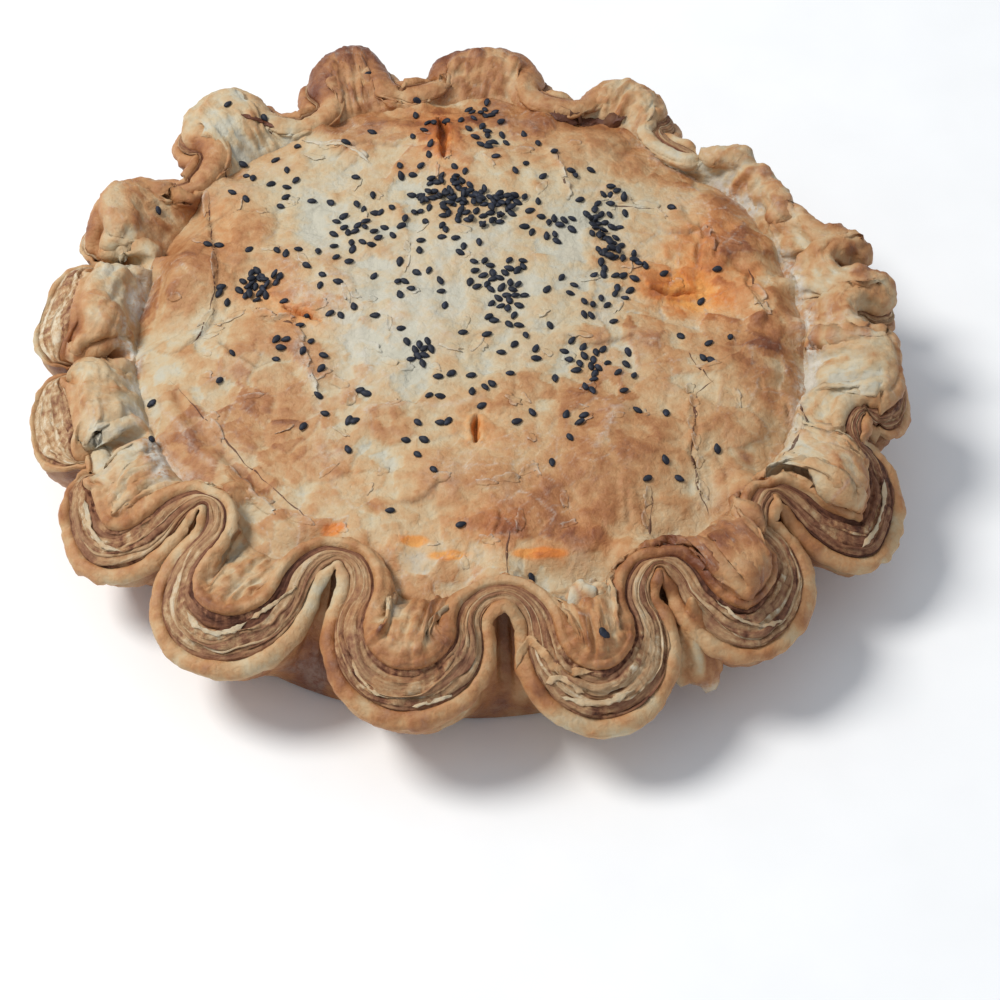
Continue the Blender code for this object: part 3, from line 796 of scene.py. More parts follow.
def lid_fields(x, y, edge, seam):
    """The lid's height at each place, and its browning, flour, juice and shade."""
    spots = np.stack([x, y, 0 * x], axis=-1)
    radius = np.hypot(x, y)
    share = np.minimum(radius / DOME_RADIUS, 1)
    height = SHOULDER_HEIGHT + (CROWN_HEIGHT - SHOULDER_HEIGHT) * (1 - share**2)
    for cx, cy, rise, spread in SWELLS:
        height = height + rise * bell(np.hypot(x - cx, y - cy), spread)

    blisters, dimples = creased(spots, 10, 101), rough(spots, 2.4, 104, 2)
    waves = rough(spots, 24, 106, 2)
    height = height + 1.1 * waves + 0.55 * blisters
    inside = edge - radius - LID_REACH
    height = height + (seam - height + 0.8 * np.abs(rough(spots, 8, 107))) * smooth(9, 0, inside)
    height -= (0.1 + 1.0 * floury_side(np.arctan2(y, x))) * bell(inside, 1.6)
    height -= 8 * smooth(0, -LID_REACH, inside)

    wx, wy = (axis + 1.6 * rough(spots, 9, seed) for axis, seed in ((x, 126), (y, 128)))
    flake, margin = flakes(wx, wy, 11, 131)
    small, small_margin = flakes(wx, wy, 4.5, 135)
    patchy = smooth(-0.7, 0.5, noise(spots, 30, 138))
    height += 0.10 * dimples + 0.40 * flake * smooth(0, 0.7, margin)
    height += 0.22 * small * smooth(0, 0.5, small_margin)
    browning = 0.38 + 0.16 * waves + 0.12 * blisters + 0.03 * dimples
    browning += (0.5 + patchy) * (0.14 * flake + 0.12 * small)
    pale_edge = smooth(-0.3, 0.6, noise(spots, 17, 113))
    flour = 0.12 * smooth(0.25, 0.9, rough(spots, 9, 111))
    flour += 0.40 * smooth(0.5, 0.0, margin) * pale_edge + 0.22 * smooth(0.4, 0.0, small_margin) * pale_edge
    juice, shade = 0 * x, 0.22 * smooth(0.5, 0.0, margin) * (1 - pale_edge)

    wx, wy = (
        axis + 0.4 * noise(spots, 2.2, seed) + 0.9 * noise(spots, 7, seed + 1)
        for axis, seed in ((x, 121), (y, 123))
    )
    broken = 0.7 + 0.6 * noise(spots, 5, 129)
    # Painted light and shade on the folds: a raised fold is a little paler, with flour on one side; a sunken
    # one is browner along it, with more painted shade at its bottom.
    for rise, half, points in FOLDS:
        away, side, along = to_line(wx, wy, points)
        bump = bell(away, half) * ends(along) * broken
        height += 0.8 * rise * bump
        if rise > 0:
            flour += 0.30 * bell(side - 0.3, 0.9) * ends(along) * (x < 50) * (y > -50)
            browning -= 0.05 * bump
        else:
            browning += 0.12 * bump
            shade += 0.20 * bell(away, 0.7) * ends(along) * broken
    for step, fade, points in LIFTED:
        away, side, along = to_line(wx, wy, points)
        lifted = smooth(-0.3, 0.3, side) * np.exp(-np.maximum(side, 0) / fade) * ends(along, 0.12)
        height += step * lifted * (away < 4 * fade)
        shade += 0.35 * bell(side + 0.45, 0.4) * ends(along, 0.1) * (away < 3)
        browning += 0.06 * lifted
    broken = smooth(-0.5, 0.1, noise(spots, 3.2, 141))
    for deep, half, points in CRACKS:
        away, _, along = to_line(wx, wy, points)
        cut = bell(away, half) * ends(along, 0.1) * broken
        height += 0.25 * bell(away - 1.1, 0.8) * ends(along) - deep * cut
        shade += min(0.3 * deep, 0.7) * cut
    for cx, cy, turn, length, half in SLITS:
        dx, dy = math.cos(math.radians(turn)), math.sin(math.radians(turn))
        ahead, left = (wx - cx) * dx + (wy - cy) * dy, -(wx - cx) * dy + (wy - cy) * dx
        within = np.abs(2 * ahead / length) < 1
        beyond = np.abs(left) - half * np.sqrt(np.clip(1 - (2 * ahead / length) ** 2, 0, 1))
        opening = smooth(0.35, -0.35, beyond) * within
        lips = bell(beyond - 1.0, 1.1) * within
        height += 0.5 * lips - 3.5 * opening
        around = bell(ahead, 0.75 * length) * bell(left, 6)
        juice += 0.9 * opening + 0.45 * around + 0.25 * lips
        shade += 0.35 * opening
    return height, browning, flour, juice, shade


# %% [markdown]
# Baking browns what stands high and near the oven's fan, and juice stains what it runs over. The middle of
# this lid stayed pale, with dry flour on it. Each stain is a soft spot: a centre, two radii and a strength.

# %% Browning, flour and juice over the lid
PALE = (
    (-14, 16, 40, 34, 0.28), (-44, 50, 28, 22, 0.24), (26, 42, 20, 20, 0.22), (52, 44, 14, 9, 0.22),
    (-12, -80, 16, 7, 0.16), (26, 6, 16, 24, 0.20), (64, -22, 16, 9, 0.10), (36, -84, 10, 5, 0.2),
)
BROWN = (
    (36, -50, 12, 18, 0.26), (6, -68, 15, 9, 0.24), (-10, 84, 30, 8, 0.26), (76, 30, 8, 20, 0.26),
    (80, -20, 8, 16, 0.20), (-66, 22, 8, 26, 0.10), (38, 82, 26, 8, 0.22), (-84, 12, 9, 18, 0.20),
    (85, -11, 2.2, 3.2, 0.5), (73, -48, 2.6, 1.8, 0.5), (20, -76, 14, 5, 0.12), (52, 66, 18, 14, 0.14),
    (-50, 82, 26, 6, 0.14), (-84, -30, 10, 16, 0.10), (50, 58, 14, 12, 0.12),
)
JUICE = (
    (62, 12, 17, 13, 0.75), (66, 30, 8, 12, 0.5), (-8, 76, 7, 12, 0.35), (-56, 10, 8, 8, 0.35),
    (-15, -76.8, 3.2, 1.3, 1.3), (-7, -81.2, 4.4, 1.2, 1.4), (16, -80.9, 6.0, 1.2, 1.3),
    (-36, -72, 3.2, 1.3, 1.0), (6, -73, 9, 6, 0.35), (30, -74, 8, 6, 0.25), (-70, 34, 4, 14, 0.3),
    (-30, -56, 7, 6, 0.15), (-14, -80, 18, 7, 0.2),
)
FLOUR = (
    (-26, -4, 20, 18, 0.40), (-14, 24, 22, 12, 0.30), (12, 2, 10, 14, 0.25),
    (-40, 16, 12, 12, 0.3), (-38, -46, 5, 5, 0.35),
)
LID_CELLS = 296
# How far the lid runs on below the rim's skin; how deep its skirt goes; how high its hidden bottom lies
LID_REACH, LID_SKIRT, LID_BOTTOM = 3.5, 5, 22


def stained(x, y, spots):
    """The sum of soft spots, each with ragged edges."""
    rag = 0.45 * rough(np.stack([x, y, 0 * x], axis=-1), 9, 151)
    total = 0 * x
    for cx, cy, wide, tall, strength in spots:
        away = ((x - cx) / wide) ** 2 + ((y - cy) / tall) ** 2
        away = np.maximum(away * (1 + rag) + 0.35 * rag, 0)
        total = total + strength * np.exp(-(away ** (2.5 if strength >= 1 else 1)))
    return total


def in_a_disc(verts):
    """Where a square grid's points go when the square fills a disc, and their angles round it."""
    flat = np.array([v.co for v in verts])
    u = flat[:, 0] * np.sqrt(1 - flat[:, 1] ** 2 / 2)
    v = flat[:, 1] * np.sqrt(1 - flat[:, 0] ** 2 / 2)
    return u, v, np.arctan2(v, u)


def run_on(shape, edges):
    """Gives the shape's edge a new strip of faces, and returns the strip's new points."""
    made = bmesh.ops.extrude_edge_only(shape, edges=edges)["geom"]
    return [thing for thing in made if isinstance(thing, bmesh.types.BMVert)]


def lid_piece():
    band = Band(900)
    shape = bmesh.new()
    bmesh.ops.create_grid(shape, x_segments=LID_CELLS, y_segments=LID_CELLS, size=1)
    u, v, angle = in_a_disc(shape.verts)
    edges = evened(band.lid_edge, 16) + LID_REACH
    edge, seam = (np.interp(angle, band.base, values, period=TAU) for values in (edges, band.seam))
    x, y = u * edge, v * edge
    height, browning, flour, juice, shade = lid_fields(x, y, edge, seam)
    pale = stained(x, y, PALE)
    browning = 0.38 + (browning - 0.38) * np.clip(1.1 - 1.8 * pale, 0.35, 1) - pale + stained(x, y, BROWN)
    dusting = 0.6 + 0.8 * rough(np.stack([x, y, 0 * x], -1), 5, 161)
    inside = edge - np.hypot(x, y) - LID_REACH
    flour = flour + stained(x, y, FLOUR) * dusting
    flour += 0.7 * smooth(4, 0.5, inside) * floury_side(angle) * dusting
    juice = juice + stained(x, y, JUICE)
    shade = shade + 0.12 * smooth(1.2, -0.5, inside)
    fields = dict(zip(SKIN_FIELDS, (browning, flour, juice, shade)))
    shaped(shape, capped(np.stack([x, y, height], axis=1)), fields)
    skirt = run_on(shape, [edge for edge in shape.edges if edge.is_boundary])
    bmesh.ops.translate(shape, verts=skirt, vec=(0, 0, -LID_SKIRT * MM))
    inwards = run_on(shape, [edge for edge in shape.edges if edge.is_boundary])
    middle = Vector(RING_CENTRE) + Vector((0, 0, LID_BOTTOM * MM))
    bmesh.ops.pointmerge(shape, verts=inwards, merge_co=middle)
    bmesh.ops.recalc_face_normals(shape, faces=shape.faces)
    return finished("lid", shape)


lid = lid_piece()

# %% [markdown]
# ## Torn flakes
#
# The uppermost leaf of a puff pastry lid blisters and tears: thin flakes lift along the folds, and dark gaps
# open beside them. A height field can't show that, because a flake has an edge and an underside. So each
# flake is a small grid bent to a ragged disc, laid on the lid with its far side lifted, and each gap is a
# thin sliver of painted shade along a line. Both take the browning of the lid they lie on.

# %% Lay flakes and gaps on the lid
# Where a flake's middle shows, in pixels; length and width in mm; turn in degrees; lift of its far side in mm
TORN = (
    (704, 233, 7, 3.2, -60, 1.2), (712, 243, 5, 2.5, -80, 0.9), (758, 292, 10, 3.0, -65, 1.0),
    (764, 308, 6, 3.0, -70, 0.8), (690, 389, 5, 3.0, 80, 0.8), (694, 402, 5, 2.6, 100, 0.9),
    (691, 420, 6, 2.6, 85, 0.7), (697, 441, 6, 2.6, 95, 0.7), (700, 462, 5, 2.2, 70, 0.6),
    (704, 490, 6, 2.4, 110, 0.6), (648, 498, 6, 2.4, 85, 0.6), (646, 520, 7, 2.4, 95, 0.6),
    (264, 313, 8, 2.8, -20, 0.9), (284, 319, 7, 2.6, -10, 0.8), (298, 332, 8, 2.6, -70, 0.8),
    (304, 356, 10, 2.8, -75, 0.8), (312, 386, 10, 2.8, -70, 0.8), (372, 346, 8, 2.8, -40, 0.7),
    (390, 362, 8, 2.8, -40, 0.7), (560, 168, 8, 3.2, -75, 0.9), (566, 190, 7, 3.0, -80, 0.8),
    (622, 200, 9, 3.0, -5, 0.8), (648, 205, 8, 2.8, -8, 0.7), (330, 145, 8, 3.0, 5, 0.8),
    (356, 152, 8, 2.8, -30, 0.8), (508, 478, 9, 3.0, 8, 0.8), (528, 470, 7, 3.0, 30, 0.7),
    (488, 482, 6, 2.5, -5, 0.6), (578, 590, 5, 3.2, 20, 1.2), (592, 586, 5, 3.0, 50, 1.2),
    (566, 600, 5, 3.0, 0, 1.0), (798, 425, 8, 2.6, 80, 1.0), (206, 205, 8, 2.6, 95, 0.7),
    (214, 262, 12, 2.8, 92, 0.7), (206, 318, 9, 2.6, 60, 0.7), (520, 520, 8, 3.0, 85, 0.6),
    (240, 480, 12, 2.6, -50, 0.8), (262, 505, 12, 2.6, -45, 0.8), (216, 430, 10, 2.4, -60, 0.7),
    (300, 520, 9, 2.6, -35, 0.7),
)
# Slivers of painted shade where gaps open: width in millimetres, then the line's points in pixels
GAPS = (
    (0.3, ((207, 190), (208, 208), (212, 245), (215, 293), (203, 325), (190, 345))),
    (0.7, ((712, 380), (696, 392), (695, 415), (693, 438), (692, 455), (699, 487), (708, 516))),
    (0.6, ((650, 485), (653, 508), (651, 535))), (0.6, ((508, 531), (507, 552), (506, 574))),
    (0.7, ((801, 403), (806, 420), (797, 440), (783, 456))), (0.5, ((255, 309), (276, 315), (298, 327))),
    (0.8, ((748, 268), (757, 292), (767, 314))), (0.5, ((556, 152), (563, 176), (568, 199))),
    (0.4, ((604, 203), (630, 207), (659, 209))), (0.3, ((170, 380), (215, 430), (262, 480), (318, 526))),
    (0.4, ((690, 352), (700, 372), (712, 382))), (3.0, ((553, 113), (575, 122), (600, 124), (624, 120))),
    (1.2, ((240, 115), (255, 120), (274, 127))), (1.2, ((219, 164), (225, 170), (227, 178))),
)
LOOSE_FLAKES, FLAKE_THICKNESS = 90, 0.16
GAP_STEP, GAP_LIFT = 0.8, 0.06


def ground_of(pieces):
    """One search tree over several pieces' faces."""
    shape = bmesh.new()
    for piece in pieces:
        shape.from_mesh(piece.data)
    tree = BVHTree.FromBMesh(shape)
    shape.free()
    return tree


def evenly_along(points, count):
    """So many places, equally far apart on the line through the points."""
    lengths = lengths_of(points)
    wanted = np.linspace(0, lengths[-1], count)
    return np.stack([np.interp(wanted, lengths, axis) for axis in points.T], axis=1)


class Sheets:
    """Thin sheets laid on the lid, all in one bmesh."""

    def __init__(self):
        self.shape = bmesh.new()
        self.layers = {name: self.shape.verts.layers.float.new(name) for name in SKIN_FIELDS}
        self.tree = ground_of((lid, skin))
        self.values = {name: [] for name in SKIN_FIELDS}
        for piece, name in itertools.product((lid, skin), SKIN_FIELDS):
            values = np.zeros(len(piece.data.vertices))
            piece.data.attributes[name].data.foreach_get("value", values)
            self.values[name] += [values[face.vertices[0]] for face in piece.data.polygons]

    def shown_at(self, px, py):
        """The place on the lid, in millimetres, that a pixel shows."""
        place = self.tree.ray_cast(CAMERA_AT, sight(px, py))[0]
        return np.array(place)[:2] / MM

    def settle(self, vertex, x, y, lift, paler, darker):
        """Lays a point on the crust below it, with the crust's own browning."""
        place, _, face, _ = self.tree.ray_cast(Vector((x, y, 100)) * MM, Vector((0, 0, -1)))
        vertex.co = place + Vector((0, 0, lift * MM))
        for name, layer in self.layers.items():
            vertex[layer] = self.values[name][face]
        vertex[self.layers["flour"]] += paler
        vertex[self.layers["shade"]] += darker

    def flake(self, middle, length, width, turn, lift, seed):
        made = bmesh.ops.create_grid(self.shape, x_segments=7, y_segments=5, size=1)["verts"]
        u, v, around = in_a_disc(made)
        spots = np.stack([2.2 * np.cos(around), 2.2 * np.sin(around), 0 * u + 7.3 * seed], axis=-1)
        ragged = 0.85 + 0.4 * noise(spots, 1, 171)
        along, over = u * ragged * length / 2, v * ragged * width / 2
        cos_turn, sin_turn = math.cos(math.radians(turn)), math.sin(math.radians(turn))
        x = middle[0] + along * cos_turn - over * sin_turn
        y = middle[1] + along * sin_turn + over * cos_turn
        rise = 0.08 + lift * smooth(-0.4, 1.2, v) * (0.8 + 0.4 * noise(spots, 1, 172))
        pale = 0.45 * smooth(0.45, 0.95, np.hypot(u, v)) * smooth(-0.6, 0.4, v)
        for vertex, *place in zip(made, x, y, rise, pale, 0 * pale):
            self.settle(vertex, *place)

    # Each gap is a sliver of painted shade: a thin dark strip just above the crust.
    def gap(self, width, pixels):
        points = np.array([self.shown_at(*pixel) for pixel in pixels])
        steps = int(lengths_of(points)[-1] / GAP_STEP)
        line = evenly_along(points, steps + 1)
        spots = np.concatenate([line, 0 * line[:, :1]], axis=1)
        line = line + 0.5 * np.stack([noise(spots, 3, 181), noise(spots, 3, 182)], axis=1)
        side = np.gradient(line, axis=0)[:, ::-1] * [-1, 1]
        side = side / np.linalg.norm(side, axis=1, keepdims=True)
        ragged = np.clip(0.8 + 1.1 * noise(spots, 2.5, 183), 0.02, None)
        half = width / 2 * ends(np.linspace(0, 1, steps + 1), 0.1) * ragged
        made = bmesh.ops.create_grid(self.shape, x_segments=steps, y_segments=1, size=1)["verts"]
        for vertex in made:
            step, across = round((vertex.co.x + 1) / 2 * steps), vertex.co.y
            x, y = line[step] + side[step] * half[step] * across
            self.settle(vertex, x, y, GAP_LIFT, 0.0, 1.0)


def flakes_piece(random):
    sheets = Sheets()
    for seed, (px, py, *flake) in enumerate(TORN):
        sheets.flake(sheets.shown_at(px, py), *flake, seed)
    for seed in range(LOOSE_FLAKES):
        angle, radius = random.uniform(0, TAU), 84 * math.sqrt(random.uniform(0, 1))
        size = random.uniform(3, 8), random.uniform(1.6, 3.6)
        middle = radius * math.cos(angle), radius * math.sin(angle)
        sheets.flake(middle, *size, random.uniform(0, 360), random.uniform(0.15, 0.55), 50 + seed)
    for width, pixels in GAPS:
        sheets.gap(width, pixels)
    shape = sheets.shape
    bmesh.ops.solidify(shape, geom=shape.faces[:], thickness=FLAKE_THICKNESS * MM)
    bmesh.ops.recalc_face_normals(shape, faces=shape.faces)
    return finished("torn_flakes", shape)


torn_flakes = flakes_piece(np.random.default_rng(5))

# %% [markdown]
# The rim tore too. Where the knife dragged, cream leaves stand out of the cut edge, frayed and curled; one
# folded right over it at the front. A torn flap of crust hangs in one of the pleats, and small puffs of
# crust stand beside a lobe. The leaves are strips along a line of the picture, the rest are lumps of noise.

# %% Leaves that fray from the cut edge, and lumps of torn crust
# Width and lift in mm, raggedness, browning, flour, then the line's points in pixels. A browning above 1
# marks
# a dark gap: the ramp's darkest brown, with painted shade that grows the more it is above 1.
FRAYED = (
    (2.4, 1.0, 0.3, 0.46, 0.0, ((516, 670), (521, 654), (530, 640), (541, 652), (554, 668), (572, 673),
        (594, 672))),
    (2.0, 0.6, 0.7, 0.34, 0.1, ((545, 684), (558, 678), (572, 684), (584, 694))),
    (1.2, 0.3, 1.0, 0.26, 0.1, ((560, 697), (585, 704), (610, 703), (634, 690))),
    (1.3, 0.4, 1.0, 0.22, 0.2, ((187, 612), (197, 628), (215, 635), (235, 631), (247, 622))),
    (1.0, 0.2, 1.0, 0.30, 0.1, ((250, 620), (275, 604), (296, 588))),
    (1.4, 0.3, 1.0, 0.22, 0.2, ((412, 707), (430, 703), (452, 697))),
    (1.0, 0.2, 1.0, 0.30, 0.1, ((352, 660), (358, 676), (370, 690), (388, 699))),
    (1.1, 0.3, 1.0, 0.28, 0.2, ((716, 600), (735, 618), (760, 628), (786, 620))),
    (1.3, 0.4, 1.0, 0.24, 0.2, ((862, 548), (876, 530), (884, 505), (884, 480))),
    (1.2, 0.4, 1.0, 0.26, 0.2, ((84, 500), (90, 530), (104, 548), (122, 552))),
    (0.9, 0.1, 1.0, 0.16, 0.6, ((302, 141), (318, 144), (343, 144), (358, 152), (370, 164))),
    (3.6, 0.2, 0.5, 1.5, 0.0, ((549, 113), (565, 118), (585, 122), (605, 122), (627, 117))),
    (1.6, 0.0, 0.6, 1.3, 0.0, ((241, 115), (256, 119), (274, 127))),
)
# Where the lump's middle shows, in pixels, and its height; its sizes in mm; browning, flour
LUMPS = (
    (698, 641, 25, (10.5, 9, 25), 0.58, 0.0),
    (582, 593, 40.5, (8, 6, 4), 0.34, 0.2), (600, 589, 40.5, (5, 4, 3.5), 0.38, 0.1),
)
LEAF_STEP, LEAF_ROWS, LEAF_THICKNESS = 1.6, 5, 0.3


def set_fields(verts, layers, values):
    """Gives all the points the same browning, flour, juice and shade."""
    for vertex in verts:
        for layer, value in zip(layers.values(), values):
            vertex[layer] = value


def frayed_leaf(shape, layers, tree, width, lift, ragged, browning, flour, pixels):
    """A ragged strip along a line of the picture, standing a little off what shows there."""
    pixels = np.array(pixels, float)
    spots = evenly_along(pixels, int(lengths_of(pixels)[-1] / LEAF_STEP))
    found = [hit for hit in (tree.ray_cast(CAMERA_AT, sight(*spot)) for spot in spots) if hit[0]]
    steps, along = len(found) - 1, np.linspace(0, 1, len(found))
    places = np.array([place for place, *_ in found]) / MM
    for _ in range(6):
        places[1:-1] = (places[:-2] + 2 * places[1:-1] + places[2:]) / 4
    normals = np.array([normal for _, normal, *_ in found]) + 2 * UP
    normals /= np.linalg.norm(normals, axis=1, keepdims=True)
    side = np.cross(normals, np.gradient(places, axis=0))
    side /= np.linalg.norm(side, axis=1, keepdims=True)
    rows = LEAF_ROWS
    made = bmesh.ops.create_grid(shape, x_segments=steps, y_segments=rows - 1, size=1)["verts"]
    shares = np.linspace(-1, 1, rows)[None]
    frayed = 0.6 * noise(places, 4, 191)[:, None] + 0.9 * noise(places, 1.1, 192)[:, None] * shares**2
    half = width / 2 * ends(along, 0.12)[:, None] * np.clip(0.8 + ragged * frayed, 0.1, None) * shares
    rise = lift * (0.4 + 0.9 * noise(places, 3, 193)[:, None] + 0.7 * shares) * ends(along, 0.2)[:, None]
    surface = places[:, None] + side[:, None] * half[..., None] + normals[:, None] * (0.35 + rise)[..., None]
    for vertex in made:
        step, row = round((vertex.co.x + 1) / 2 * steps), round((vertex.co.y + 1) / 2 * (rows - 1))
        vertex.co = surface[step, row] * MM
    # Painted shade for a dark gap, from a browning above 1
    painted_gap_shade = 2 * max(browning - 1, 0)
    set_fields(made, layers, (browning, flour, 0, painted_gap_shade))


def lump(shape, layers, px, py, height, sizes, browning, flour):
    """A clod of torn crust, gathered in upright folds, wider below than above, and leaning inwards."""
    ray = sight(px, py)
    middle = np.array(CAMERA_AT + ray * (height * MM - CAMERA_AT.z) / ray.z) / MM
    made = bmesh.ops.create_icosphere(shape, subdivisions=4, radius=0.5)["verts"]
    round_places = np.array([v.co for v in made])
    level = round_places[:, 2:]
    wide = np.sqrt(1 + 4 * level**2) * (1 - 0.8 * level)
    places = round_places * np.concatenate([wide, wide, 1 + 0 * wide], axis=1) * sizes
    seed = int(px)
    folds = creased(places * [1, 1, 0.15], 2.6, seed, 1)
    ridged = 1 + 0.10 * rough(places, 5, seed) + 0.24 * folds + 0.05 * rough(places, 1.2, seed + 9, 2)
    inwards = -middle / np.linalg.norm(middle[:2]) * [1, 1, 0]
    places = places * ridged[:, None] + 0.35 * places[:, 2:] * inwards + middle
    floury = flour + 0.6 * smooth(-0.3, -0.5, level[:, 0])
    # Painted light and shade on the folds: their crests paler and their valleys browner.
    for vertex, place, fold, dusted in zip(made, places, folds, floury):
        vertex.co = place * MM
        set_fields([vertex], layers, (browning - 0.35 * fold, dusted, 0, 0))


def torn_piece():
    tree = ground_of((case, layers, skin, lid))
    shape = bmesh.new()
    fields = {name: shape.verts.layers.float.new(name) for name in SKIN_FIELDS}
    for leaf in FRAYED:
        frayed_leaf(shape, fields, tree, *leaf)
    bmesh.ops.solidify(shape, geom=shape.faces[:], thickness=LEAF_THICKNESS * MM)
    for torn in LUMPS:
        lump(shape, fields, *torn)
    bmesh.ops.recalc_face_normals(shape, faces=shape.faces)
    return finished("frayed_leaves", shape)


frayed_leaves = torn_piece()

# %% [markdown]
# ## The seeds
#
# Black sesame: flat drops about 3 mm long. One seed is a sphere pulled to a point and pressed flat. The
# baker dropped them from the hand, so they lie in clumps with stragglers between. Each clump is where it
# shows in the picture, its spread in pixels, and a count; the camera's ray through a pixel finds the crust,
# and the seed lies on it at a random turn. Seeds that fall on others lie on top of them.

# %% Scatter the seeds
# Where the clump shows, in pixels; its spread in pixels; its count
CLUMPS = (
    (468, 203, 20, 8, 54), (448, 190, 12, 10, 14), (500, 210, 14, 6, 14), (476, 130, 14, 12, 14),
    (489, 106, 6, 4, 3), (602, 200, 8, 8, 6), (598, 226, 10, 8, 16), (608, 246, 9, 10, 16),
    (252, 286, 12, 9, 22), (500, 275, 13, 9, 6), (504, 300, 11, 12, 10), (357, 234, 8, 8, 8),
    (460, 241, 18, 8, 7), (423, 352, 7, 6, 9), (600, 362, 12, 9, 5), (546, 222, 12, 7, 6),
    (384, 236, 9, 7, 5),
)
SINGLES = (
    (424, 131), (428, 124), (434, 123), (417, 101), (442, 176), (455, 168), (465, 172), (431, 184),
    (432, 199), (426, 222), (442, 226), (414, 213), (421, 212), (405, 219), (375, 214), (381, 213),
    (357, 205), (364, 210), (366, 222), (353, 250), (463, 333), (472, 392), (253, 179), (474, 262),
    (475, 271), (470, 283), (477, 287), (372, 133), (346, 143), (298, 147), (243, 165), (232, 193),
    (246, 200), (208, 245), (219, 246), (672, 208), (247, 177), (276, 161), (287, 171), (296, 181),
    (271, 185), (287, 188), (286, 198), (281, 207), (312, 202), (331, 203), (356, 178), (373, 196),
    (392, 208), (400, 166), (401, 176), (413, 175), (421, 166), (429, 155), (431, 144), (413, 137),
    (416, 116), (412, 196), (344, 217), (334, 235), (334, 247), (374, 232), (277, 251), (286, 254),
    (298, 250), (249, 250), (318, 252), (307, 266), (323, 275), (320, 286), (338, 282), (349, 262),
    (336, 258), (374, 277), (400, 262), (421, 241), (417, 273), (429, 271), (440, 281), (411, 289),
    (400, 295), (398, 282), (405, 282), (441, 292), (445, 306), (280, 277), (284, 302), (227, 303),
    (219, 294), (330, 314), (341, 316), (354, 307), (307, 317), (375, 316), (300, 326), (311, 342),
    (303, 351), (324, 356), (276, 340), (286, 340), (281, 348), (276, 360), (321, 369), (401, 329),
    (232, 354), (219, 381), (318, 396), (325, 414), (360, 391), (366, 394), (411, 360), (438, 377),
    (451, 374), (471, 376), (429, 396), (440, 397), (349, 421), (355, 421), (418, 423), (440, 423),
    (448, 422), (406, 440), (424, 440), (418, 455), (434, 470), (303, 427), (491, 116), (501, 122),
    (482, 127), (502, 136), (506, 144), (488, 147), (524, 135), (538, 144), (526, 164), (515, 171),
    (496, 157), (554, 152), (543, 177), (571, 171), (575, 176), (591, 171), (512, 198), (538, 202),
    (603, 195), (611, 187), (617, 191), (624, 197), (625, 214), (541, 217), (549, 223), (557, 242),
    (564, 221), (572, 230), (524, 227), (639, 264), (645, 266), (634, 260), (664, 274), (717, 269),
    (701, 302), (615, 276), (623, 276), (617, 289), (615, 294), (625, 299), (630, 291), (634, 279),
    (594, 276), (603, 275), (561, 278), (574, 286), (570, 294), (547, 290), (490, 266), (509, 261),
    (509, 269), (523, 267), (584, 302), (592, 305), (601, 299), (607, 306), (584, 315), (591, 316),
    (614, 322), (483, 276), (487, 285), (510, 283), (518, 285), (525, 296), (507, 296), (501, 307),
    (519, 306), (514, 316), (509, 325), (519, 326), (494, 321), (487, 335), (550, 326), (526, 336),
    (514, 345), (501, 353), (536, 349), (536, 359), (572, 341), (564, 352), (569, 360), (584, 356),
    (603, 350), (596, 353), (628, 353), (576, 371), (591, 367), (607, 364), (618, 373), (626, 365),
    (634, 376), (555, 379), (585, 387), (592, 391), (624, 391), (594, 380), (510, 374), (492, 384),
    (485, 388), (532, 413), (566, 415), (584, 416), (580, 423), (517, 422), (637, 411), (666, 414),
    (482, 406), (681, 337), (730, 338), (709, 344), (703, 358), (711, 361), (717, 449), (665, 460),
    (647, 479), (679, 479), (390, 511), (461, 525), (552, 463), (570, 438), (606, 635), (602, 634),
    (367, 73), (228, 105), (265, 118), (158, 211), (531, 578), (152, 404), (151, 440), (348, 450),
)
SEED_LENGTH, SEED_WIDTH, SEED_THICKNESS = 3.0, 2.0, 1.2
# Seeds nearer than the first distance are laid anew, up to so many times; nearer than the second, they pile
# up, which only clumps of so many seeds do
SEED_GAP, SEED_PILED, SEED_TRIES, HEAP = 1.9, 1.6, 14, 14


def seed_template():
    shape = bmesh.new()
    bmesh.ops.create_uvsphere(shape, u_segments=8, v_segments=6, radius=0.5)
    for vertex in shape.verts:
        x, y, z = vertex.co.z, vertex.co.x, vertex.co.y
        pinch = 1 - 0.3 * smooth(-0.1, 0.5, x)
        vertex.co = (x * SEED_LENGTH, y * SEED_WIDTH * pinch, z * SEED_THICKNESS * (0.6 + 0.4 * pinch))
    bmesh.ops.recalc_face_normals(shape, faces=shape.faces)
    bmesh.ops.scale(shape, verts=shape.verts, vec=(MM, MM, MM))
    mesh = bpy.data.meshes.new("seed_template")
    shape.to_mesh(mesh)
    shape.free()
    return mesh


